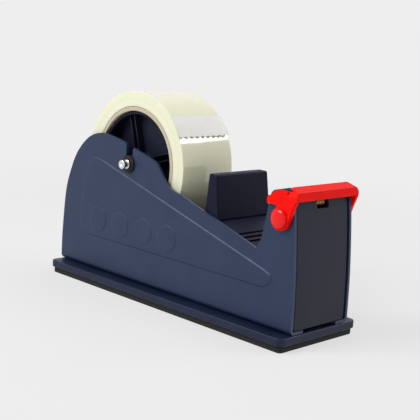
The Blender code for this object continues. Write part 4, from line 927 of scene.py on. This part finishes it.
def ramp_insert():
    """Open-bottomed housing whose sloping top has three cross slots."""
    rear, front = profile_points(RAMP_TOP_SHARES)
    slope = (front - rear).normalized()
    normal = Vector((-slope.y, slope.x))
    across, down = slope * RAMP_SLOT_WIDTH, -normal * RAMP_SLOT_DEPTH
    top = [rear]
    for index in range(RAMP_SLOT_COUNT):
        start = rear + slope * (RAMP_SLOT_START + RAMP_SLOT_PITCH * index)
        top += [start, start + down, start + across + down, start + across]
    outline = [(rear.x, FLOOR_TOP), *top, front, (front.x, FLOOR_TOP)]
    obj = to_object("ribbed_ramp_fine", prism(outline, -PANEL_HALF, PANEL_HALF))
    drop = RAMP_WALL / normal.y
    change = ramp_rise(rear, front) * RAMP_WALL
    below = FLOOR_TOP - OVERCUT
    inside = [
        (rear.x + RAMP_WALL, below), (rear.x + RAMP_WALL, rear.y + change - drop),
        (front.x - RAMP_WALL, front.y - change - drop), (front.x - RAMP_WALL, below),
    ]
    inner = PANEL_HALF - RAMP_WALL
    combine(obj, "DIFFERENCE", prism(inside, -inner, inner), *bend_reliefs())
    round_edges(obj, FINE_ROUND, angle=50)
    piece(obj, "frame", "dark_plastic", "ribbed_ramp", DARK_PLASTIC)


def drafted(points, draft_inset):
    """Prism whose two faces lean in towards the top of the block."""
    low, high = profile_height(BLOCK_SHARES[3][1]), profile_height(BLOCK_SHARES[1][1])
    bm = prism(points, -BLOCK_HALF, BLOCK_HALF)
    for vert in bm.verts:
        half = BLOCK_HALF - draft_inset - BLOCK_DRAFT * (vert.co.z - low) / (high - low)
        vert.co.y = math.copysign(half, vert.co.y)
    return bm


def guide_block():
    """Hollow upright block whose foot follows the ramp."""
    rear, front = profile_points(RAMP_TOP_SHARES)
    points = profile_points(BLOCK_SHARES)
    for index in (0, 3):
        rise = ramp_rise(rear, front) * (points[index].x - rear.x)
        points[index].y = rear.y + rise + SEAT_GAP
    obj = to_object("guide_block_fine", drafted(points, 0))
    round_edges(obj, BLOCK_ROUND, segments=5, angle=60)
    rear_foot, rear_top, front_top, front_foot = points
    inside = [
        (rear_foot.x + BLOCK_WALL, rear_foot.y - OVERCUT),
        (rear_top.x + BLOCK_WALL, rear_top.y - BLOCK_WALL),
        (front_top.x - BLOCK_WALL, front_top.y - BLOCK_WALL),
        (front_foot.x - BLOCK_WALL, front_foot.y - OVERCUT),
    ]
    combine(obj, "DIFFERENCE", drafted(inside, BLOCK_WALL))
    piece(obj, "frame", "dark_plastic", "guide_block", DARK_PLASTIC)


# Guard

def guard():
    """Red moulded guard: two arms with grip ribs and a rim, and the hood between them."""
    disc = arc(PIVOT, GUARD_DISC_RADIUS, *GUARD_DISC_ARC, 40)
    outline = [*disc, *profile_points(ARM_SHARES)]
    obj = to_object("guard_fine", prism(outline, -ARM_OUTER, ARM_OUTER))
    back, top, foot = profile_points(HOOD_INSIDE_SHARES)
    reach = BODY_HEIGHT / 2
    hollow = [
        back, top, foot, (foot.x + reach, foot.y), (foot.x + reach, foot.y - reach),
        (back.x - reach, foot.y - reach), (back.x - reach, back.y + reach),
        (back.x, back.y + reach),
    ]
    combine(obj, "DIFFERENCE", prism(hollow, -ARM_INNER, ARM_INNER))
    hood_top = profile_height(ARM_SHARES[HOOD_TOP][1])
    beyond = ARM_OUTER + GUARD_CHAMFER_SIDE
    wedge = [
        (ARM_OUTER - GUARD_CHAMFER_SIDE * 2, hood_top + GUARD_CHAMFER_DROP),
        (beyond, hood_top - GUARD_CHAMFER_DROP * 2), (beyond, hood_top + GUARD_CHAMFER_DROP),
    ]
    start = back.x - HOOD_SKIN
    for side in (-1, 1):
        places = [(start, side * y, z) for y, z in wedge]
        combine(obj, "DIFFERENCE", pushed(places, (reach + HOOD_SKIN, 0, 0)))
    combine(obj, "UNION", spring_ledge(foot.x - LEDGE_BACK))
    combine(obj, "DIFFERENCE", bore(PIVOT, PIVOT_HOLE))
    round_edges(obj, GUARD_ROUND, segments=4, angle=35)
    relief = []
    front_line = [*profile_points(ARM_SHARES[ARM_FRONT:]), disc[0]]
    foot = profile_point(GRIP_FOOT_SHARES)
    for side in (-1, 1):
        relief.append(arm_rim(front_line, side))
        for index in range(GRIP_RIB_COUNT):
            head = profile_height(GRIP_TOP_SHARE + GRIP_TOP_STEP * index)
            relief.append(grip_rib(foot.x + GRIP_RIB_PITCH * index, foot.y, head, side))
    combine(obj, "UNION", *relief)
    piece(obj, "guard", "red_plastic", "guard", RED, angle=40)


def spring_ledge(back):
    """Bar inside the hood that the spring's front leg presses on."""
    foot = SPRING_ROD.y + SPRING_COIL_RADIUS + SPRING_WIRE + SEAT_GAP
    front = profile_point(ARM_SHARES[HOOD_FRONT]).x - HOOD_SKIN
    section = rectangle(back, foot, front, foot + LEDGE_THICKNESS)
    start = SPRING_START + SPRING_PITCH * SPRING_TURNS - LEDGE_WIDTH / 2
    return prism(section, start, start + LEDGE_WIDTH)


def arm_rim(front_line, side):
    """Raised band just behind an arm's front edge.

    Its faces are made one by one, since the bevel's corners depend on their directions.
    """
    front = [p - Vector((RIM_SETBACK, 0)) for p in front_line]
    back = [p - Vector((RIM_WIDTH, 0)) for p in front]
    outline = [*front, *reversed(back)]
    bm = bmesh.new()
    for y in sorted((side * (ARM_OUTER - RIM_SETBACK), side * (ARM_OUTER + RIM_HEIGHT))):
        loop(bm, outline, y)
    verts = bm.verts[:]
    near, far = verts[:len(outline)], verts[len(outline):]
    for corners in (near, far, *zip(near, near[1:] + near[:1], far[1:] + far[:1], far)):
        bm.faces.new(corners)
    bmesh.ops.bevel(
        bm, geom=bm.edges[:], offset=RIM_ROUND, segments=2, profile=0.5, affect="EDGES",
        material=-1,
    )
    return bm


def grip_rib(x, low, high, side):
    """Upright half-round rib on an arm's outer face, with tapered ends."""
    radius = GRIP_RIB_RADIUS
    end = radius * 0.3
    y = side * (ARM_OUTER - 0.1 * MM)
    profile = [
        (0, low), (end, low), (radius, low + GRIP_RIB_TAPER), (radius, high - GRIP_RIB_TAPER),
        (end, high), (0, high),
    ]
    return spun([(x + across, y, z) for across, z in profile], 10, (x, y, 0), (0, 0, 1))


def pivot_cap(side):
    """Domed cap on the end of the guard's rod."""
    crown, rim, seat = 34.35 * MM, 32.45 * MM, 31.45 * MM
    radius, chamfer, steps = 6.1 * MM, 0.2 * MM, 12
    profile = [(0, crown)]
    for step in range(1, steps + 1):
        angle = math.radians(90) * step / steps
        profile.append((radius * math.sin(angle), rim + (crown - rim) * math.cos(angle)))
    profile += [(radius, seat + chamfer), (radius - chamfer, seat), (0, seat)]
    name = side_name(side) + "_pivot_cap"
    obj = to_object(name + "_fine", lathe(profile, 64, PIVOT, side))
    piece(obj, "frame", "red_plastic", name, CAP_RED, angle=50)


def rod(node, centre, radius, body, slot, material):
    """Turned bar with chamfered ends, as long as its CAD node."""
    low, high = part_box(node)
    chamfer = radius / 5
    profile = [
        (0, high.y), (radius - chamfer, high.y), (radius, high.y - chamfer),
        (radius, low.y + chamfer), (radius - chamfer, low.y), (0, low.y),
    ]
    obj = to_object(node + "_fine", lathe(profile, 40, centre))
    piece(obj, body, slot, node, material)


# Guard spring

def guard_spring():
    """Torsion spring on its rod, with a leg down and a front leg that runs forward under the
    guard's ledge.
    """
    centre = Vector((SPRING_ROD.x, 0, SPRING_ROD.y))
    count = int(SPRING_TURNS * 24)
    coils = []
    for step in range(count + 1):
        share = step / count
        angle = 2 * math.pi * SPRING_TURNS * share
        y = SPRING_START + SPRING_PITCH * SPRING_TURNS * share
        arm = Vector((math.cos(angle), 0, math.sin(angle))) * SPRING_COIL_RADIUS
        coils.append(centre + arm + Vector((0, y, 0)))
    down = [coils[0] - Vector((0, 0, SPRING_DOWN_LEG * k / 6)) for k in range(6, 0, -1)]
    ahead = [coils[-1] + Vector((SPRING_FRONT_LEG * k / 10, 0, 0)) for k in range(1, 11)]
    path = [*down, *coils, *ahead]
    curve = bpy.data.curves.new("guard_spring_wire", "CURVE")
    curve.dimensions = "3D"
    curve.bevel_depth = SPRING_WIRE
    curve.bevel_resolution = 3
    curve.use_fill_caps = True
    spline = curve.splines.new("POLY")
    spline.points.add(len(path) - 1)
    for point, place in zip(spline.points, path):
        point.co = (*place, 1)
    wire = add_object("guard_spring_wire", curve)
    mesh = final_mesh(wire)
    bpy.data.objects.remove(wire, do_unlink=True)
    mesh.materials.clear()
    mesh.materials.append(SPRING_STEEL)
    mesh.polygons.foreach_set("use_smooth", [True] * len(mesh.polygons))
    obj = add_object("guard_spring_fine", mesh)
    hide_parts("guard_spring")
    tip = ahead[-1]
    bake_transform(obj)
    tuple(tip)


# Axle and reel

def axle_bush(side):
    """Nylon bush with two flanges that grip the side plate, and a nose towards the hub."""
    outer, seat, inner_seat = 30.0 * MM, 28.9 * MM, 26.3 * MM
    inner_face, nose = 25.2 * MM, 20.3 * MM
    flange, barrel, nose_radius = 6.3 * MM, 3.3 * MM, 5.0 * MM
    profile = [
        (AXLE_BORE, outer), (flange, outer), (flange, seat), (barrel, seat),
        (barrel, inner_seat), (flange, inner_seat), (flange, inner_face),
        (nose_radius, inner_face), (nose_radius, nose), (AXLE_BORE, nose),
    ]
    name = side_name(side) + "_axle_bush"
    bm = lathe(soften(profile, BUSH_ROUND), 64, AXLE, side, closed=True)
    piece(to_object(name + "_fine", bm), "axle", "bush_plastic", name, NYLON)


def axle_cap(side):
    """Chromed knob: collar, waisted neck and dimpled head."""
    start, collar, neck, face = 30.3 * MM, 31.4 * MM, 33.6 * MM, 35.9 * MM
    knob, waist, corner = 3.3 * MM, 2.2 * MM, 0.8 * MM
    turn_in = Vector((knob - corner, face - corner))
    profile = [
        (0, face - 0.7 * MM), (0.7 * MM, face - 0.45 * MM), (1.1 * MM, face),
        *(tuple(p) for p in arc(turn_in, corner, math.radians(90), 0, 6)),
        (knob, neck + 0.3 * MM), (knob - 0.3 * MM, neck), (waist, neck - 0.2 * MM),
        (waist, collar + 0.2 * MM), (knob - 0.25 * MM, collar), (knob, collar - 0.25 * MM),
        (knob, start + 0.2 * MM), (knob - 0.2 * MM, start), (0, start),
    ]
    name = side_name(side) + "_axle_cap"
    obj = to_object(name + "_fine", lathe(profile, 56, AXLE, side))
    piece(obj, "axle", "chrome", name, CHROME)


def hub_half(side):
    """Rim, web and boss with four pairs of thin radial ribs."""
    split = SEAT_GAP / 2
    profile = [
        (AXLE_BORE, HUB_BOSS_FACE), (HUB_BOSS_RADIUS, HUB_BOSS_FACE),
        (HUB_BOSS_RADIUS, HUB_WEB_FRONT), (HUB_RIM_INNER, HUB_WEB_FRONT),
        (HUB_RIM_INNER, HUB_RIM_FACE), (HUB_RADIUS, HUB_RIM_FACE), (HUB_RADIUS, split),
        (HUB_RIM_INNER, split), (HUB_RIM_INNER, HUB_WEB_BACK),
        (HUB_BOSS_RADIUS, HUB_WEB_BACK), (HUB_BOSS_RADIUS, split), (AXLE_BORE, split),
    ]
    name = side_name(side) + "_hub_half"
    bm = lathe(soften(profile, HUB_ROUND), 128, AXLE, side, closed=True)
    obj = to_object(name + "_fine", bm)
    foot, top = side * (HUB_WEB_FRONT - ROOT), side * HUB_RIB_TOP
    ribs = []
    for index in range(4):
        angle = HUB_RIB_TURN + math.radians(90) * index
        out = Vector((math.cos(angle), math.sin(angle)))
        across = Vector((-out.y, out.x))
        half = across * HUB_RIB_HALF
        for middle in (-HUB_RIB_SPREAD, HUB_RIB_SPREAD):
            first = AXLE + out * (HUB_BOSS_RADIUS - ROOT) + across * middle
            last = AXLE + out * (HUB_RIM_INNER + ROOT) + across * middle
            ribs.append(prism([first - half, last - half, last + half, first + half], foot, top))
    combine(obj, "UNION", *ribs)
    piece(obj, "reel", "hub_plastic", name, HUB_PLASTIC)


def ring(node, outer, inner, edge, slot, *materials):
    """Tube on the axle's line, as wide as the tape."""
    profile = [(inner, HALF_TAPE), (outer, HALF_TAPE), (outer, -HALF_TAPE), (inner, -HALF_TAPE)]
    bm = lathe(soften(profile, edge), 192, AXLE, closed=True)
    obj = to_object(node + "_fine", bm)
    piece(obj, "reel", slot, node, *materials)
    return obj


def tape_roll():
    """Wound tape: its tread has one finish and its cut sides another."""
    inner = CORE_RADIUS + SEAT_GAP
    obj = ring("tape_roll", ROLL_RADIUS, inner, 0.25 * MM, "tape", TAPE_TREAD, TAPE_SIDE)
    for face in obj.data.polygons:
        face.material_index = 1 if abs(face.normal.y) > 0.7 else 0


def tape_end():
    """Loose end of the tape, lifted off the roll and cut in a zigzag."""
    full = (TAPE_END_START - TAPE_END_STOP) * ROLL_RADIUS
    bm = bmesh.new()
    bmesh.ops.create_grid(bm, x_segments=24, y_segments=TAPE_TOOTH_COUNT * 8, size=1 / 2)
    for vert in bm.verts:
        onward, across = vert.co.x + 1 / 2, vert.co.y + 1 / 2
        tooth = abs((across * TAPE_TOOTH_COUNT) % 1 - 1 / 2) * 2
        distance = (full - TAPE_TOOTH_DEPTH * tooth) * onward
        lift = (TAPE_END_LIFT + TAPE_END_CURL * across ** 3) * (distance / full) ** 2
        radius = ROLL_RADIUS + SEAT_GAP + lift
        angle = TAPE_END_START - distance / ROLL_RADIUS
        vert.co = (
            AXLE.x + radius * math.cos(angle), (across * 2 - 1) * HALF_TAPE,
            AXLE.y + radius * math.sin(angle),
        )
    obj = to_object("tape_end_fine", bm)
    film = obj.modifiers.new("film", "SOLIDIFY")
    film.thickness = TAPE_END_THICKNESS
    settle(obj)
    piece(obj, "reel", "tape", "tape_end", FILM, angle=60)


# Fasteners

def recessed_head(head, height):
    """Domed pan head with a cross recess, its seat at height 0 and its axis along Z."""
    steps, recess = 7, head * 1.1
    profile = [(0, height)]
    for step in range(1, steps + 1):
        angle = math.radians(90) * step / steps
        profile.append((head * math.sin(angle), height * (0.35 + 0.65 * math.cos(angle))))
    profile += [(head, 0), (0, 0)]
    places = [(radius, 0, z) for radius, z in profile]
    obj = to_object("head", spun(places, 32, (0, 0, 0), (0, 0, 1)))
    for size in ((recess, recess / 4, height), (recess / 4, recess, height)):
        tool = bmesh.new()
        bmesh.ops.create_cube(tool, size=1)
        bmesh.ops.scale(tool, verts=tool.verts, vec=size)
        bmesh.ops.translate(tool, verts=tool.verts, vec=(0, 0, height))
        combine(obj, "DIFFERENCE", tool)
    return obj


def fasteners(kind, count, head, height, shank, length, turn=Matrix.Identity(4)):
    """Screws in the boxes of their CAD nodes; turn carries +Z to the head's direction."""
    way = turn @ Vector((0, 0, 1))
    for number in range(1, count + 1):
        name = f"{kind}_{number}"
        low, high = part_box(name)
        seat = (low + high) / 2 + way * (abs(way.dot(high - low)) / 2 - height)
        obj = recessed_head(head, height)
        bm = bmesh.new()
        bmesh.ops.create_cone(
            bm, cap_ends=True, segments=24, radius1=shank, radius2=shank, depth=length
        )
        bmesh.ops.translate(bm, verts=bm.verts, vec=(0, 0, -length / 2 + 0.05 * MM))
        combine(obj, "UNION", bm)
        obj.name = name + "_fine"
        obj.data.transform(Matrix.Translation(seat) @ turn)
        piece(obj, "frame", "steel", name, STEEL)


def hex_nuts():
    for name in ("blade_nut_1", "blade_nut_2"):
        low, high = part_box(name)
        bm = bmesh.new()
        bmesh.ops.create_cone(
            bm, cap_ends=True, segments=6, radius1=NUT_RADIUS, radius2=NUT_RADIUS,
            depth=high.x - low.x,
        )
        obj = to_object(name + "_fine", bm)
        obj.data.transform(Matrix.Rotation(math.radians(90), 4, "Y"))
        obj.data.transform(Matrix.Translation((low + high) / 2))
        round_edges(obj, NUT_ROUND, angle=30)
        piece(obj, "frame", "steel", name, STEEL)


def carry_over(node, material, edge):
    """Keeps a CAD node, with a rounded edge and its finish."""
    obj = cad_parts[node]
    for slot in obj.material_slots:
        slot.material = material
    edge_round(obj, edge, angle=50)


slab("base_plate", 4.5 * MM, 0.8 * MM, "blue_enamel", NAVY)
slab("rubber_mat", 2.9 * MM, 0.4 * MM, "rubber", RUBBER)
for hand in (-1, 1):
    side_plate(hand)
front_panel()
rear_panel()
landing_plate()
ramp_insert()
guide_block()
guard()
for hand in (-1, 1):
    pivot_cap(hand)
    axle_bush(hand)
    axle_cap(hand)
    hub_half(hand)
rod("guard_pivot_rod", PIVOT, PIVOT_ROD_RADIUS, "frame", "steel", STEEL)
rod("spring_rod", SPRING_ROD, SPRING_ROD_RADIUS, "frame", "steel", STEEL)
rod("axle_rod", AXLE, AXLE_RADIUS, "axle", "chrome", CHROME)
guard_spring()
ring("core_tube", CORE_RADIUS, CORE_BORE, 0.3 * MM, "cardboard", PAPER)
tape_roll()
tape_end()
fasteners("flange_screw", 6, head=3.0 * MM, height=1.8 * MM, shank=1.9 * MM, length=6.5 * MM)
fasteners("ballast_bolt", 2, head=5.0 * MM, height=4.0 * MM, shank=3.0 * MM, length=24 * MM)
fasteners(
    "blade_screw", 2, head=1.7 * MM, height=0.9 * MM, shank=1.0 * MM, length=4.0 * MM,
    turn=Matrix.Rotation(math.radians(90), 4, "Y"),
)
fasteners(
    "guide_block_screw", 2, head=2.8 * MM, height=1.6 * MM, shank=1.4 * MM, length=12 * MM,
    turn=Matrix.Rotation(math.radians(180), 4, "X"),
)
hex_nuts()
carry_over("blade", BLADE_STEEL, 0.05 * MM)
carry_over("ballast_block", IRON, 0.6 * MM)


# Floor, light and camera

BACKGROUND = linear("eeeeee")
FLOOR_GREY = (0.80, 0.80, 0.80, 1)
FLOOR_RADIUS = 40
FLOOR_NEAR = 0.30
FLOOR_FAR = 0.75
FLOOR_EVENNESS = 0.72  # the photo is cut out, so only a faint shadow is kept
TARGET = (0, 0, 0.06)
CAMERA_PLACE = (0.4807, -0.4747, 0.1925)
CAMERA_YAW = math.radians(44.52)
CAMERA_PITCH = math.radians(10.52)
CAMERA_ROLL = math.radians(3.67)
CAMERA_LENS = 82.59


def floor():
    """Pale floor that is lit near the object and has one even tone further away."""
    bm = bmesh.new()
    bmesh.ops.create_circle(bm, cap_ends=True, segments=64, radius=FLOOR_RADIUS)
    obj = to_object("floor", bm)
    material = bpy.data.materials.new("pale_floor")
    material.use_nodes = True
    tree = material.node_tree
    tree.nodes.clear()
    lit = add_node(tree, "ShaderNodeBsdfDiffuse", {"Color": FLOOR_GREY})
    even = add_node(tree, "ShaderNodeEmission", {"Color": BACKGROUND})
    place = add_node(tree, "ShaderNodeTexCoord").outputs["Object"]
    length = add_node(tree, "ShaderNodeVectorMath", {0: place}, operation="LENGTH")
    share = add_node(
        tree, "ShaderNodeMapRange",
        {
            "Value": length.outputs["Value"], "From Min": FLOOR_NEAR, "From Max": FLOOR_FAR,
            "To Min": FLOOR_EVENNESS,
        },
        interpolation_type="SMOOTHSTEP",
    )
    finish_tree(tree, "ShaderNodeOutputMaterial", share.outputs["Result"], lit, even)
    obj.data.materials.append(material)


def finish_tree(tree, output, share, first, second):
    """Mixes two shaders by a share and gives the result to the tree's output."""
    mix = add_node(
        tree, "ShaderNodeMixShader", {"Fac": share, 1: first.outputs[0], 2: second.outputs[0]}
    )
    add_node(tree, output, {"Surface": mix.outputs[0]})


def surroundings(strength):
    """Even soft light all round, seen and mirrored in the backdrop's own tone."""
    world = bpy.data.worlds.new("studio")
    bpy.context.scene.world = world
    world.use_nodes = True
    tree = world.node_tree
    tree.nodes.clear()
    light = add_node(tree, "ShaderNodeBackground", {"Strength": strength})
    seen = add_node(tree, "ShaderNodeBackground", {"Color": BACKGROUND})
    path = add_node(tree, "ShaderNodeLightPath").outputs
    share = path["Is Camera Ray"]
    for ray in ("Is Glossy Ray", "Is Transmission Ray"):
        either = add_node(tree, "ShaderNodeMath", {0: share, 1: path[ray]}, operation="MAXIMUM")
        share = either.outputs[0]
    finish_tree(tree, "ShaderNodeOutputWorld", share, light, seen)


def softbox(name, place, target, width, height, power):
    data = bpy.data.lights.new(name, "AREA")
    data.shape = "RECTANGLE"
    data.size = width
    data.size_y = height
    data.energy = power
    obj = add_object(name, data)
    obj.location = place
    way = Vector(target) - Vector(place)
    obj.rotation_euler = way.to_track_quat("-Z", "Y").to_euler()


def camera():
    """Camera solved from the photograph: place, yaw, pitch down, roll and focal length."""
    data = bpy.data.cameras.new("photo_camera")
    data.sensor_width = 36
    data.lens = CAMERA_LENS
    data.clip_start = 0.01
    data.clip_end = 100
    obj = add_object("photo_camera", data)
    yaw = Matrix.Rotation(CAMERA_YAW, 4, "Z")
    pitch = Matrix.Rotation(math.radians(90) - CAMERA_PITCH, 4, "X")
    roll = Matrix.Rotation(CAMERA_ROLL, 4, "Z")
    obj.matrix_world = Matrix.Translation(CAMERA_PLACE) @ yaw @ pitch @ roll
    bpy.context.scene.camera = obj


floor()
surroundings(0.35)
softbox("key_light", (-0.5, -1.1, 1.1), TARGET, width=0.9, height=0.9, power=20)
softbox("top_light", (0.1, 0.5, 1.4), TARGET, width=1.0, height=0.6, power=4)
softbox("roll_light", (0.62, 0.86, 0.76), (0, 0, 0.12), width=0.7, height=0.2, power=4)
camera()
bpy.context.scene.view_settings.view_transform = "Standard"
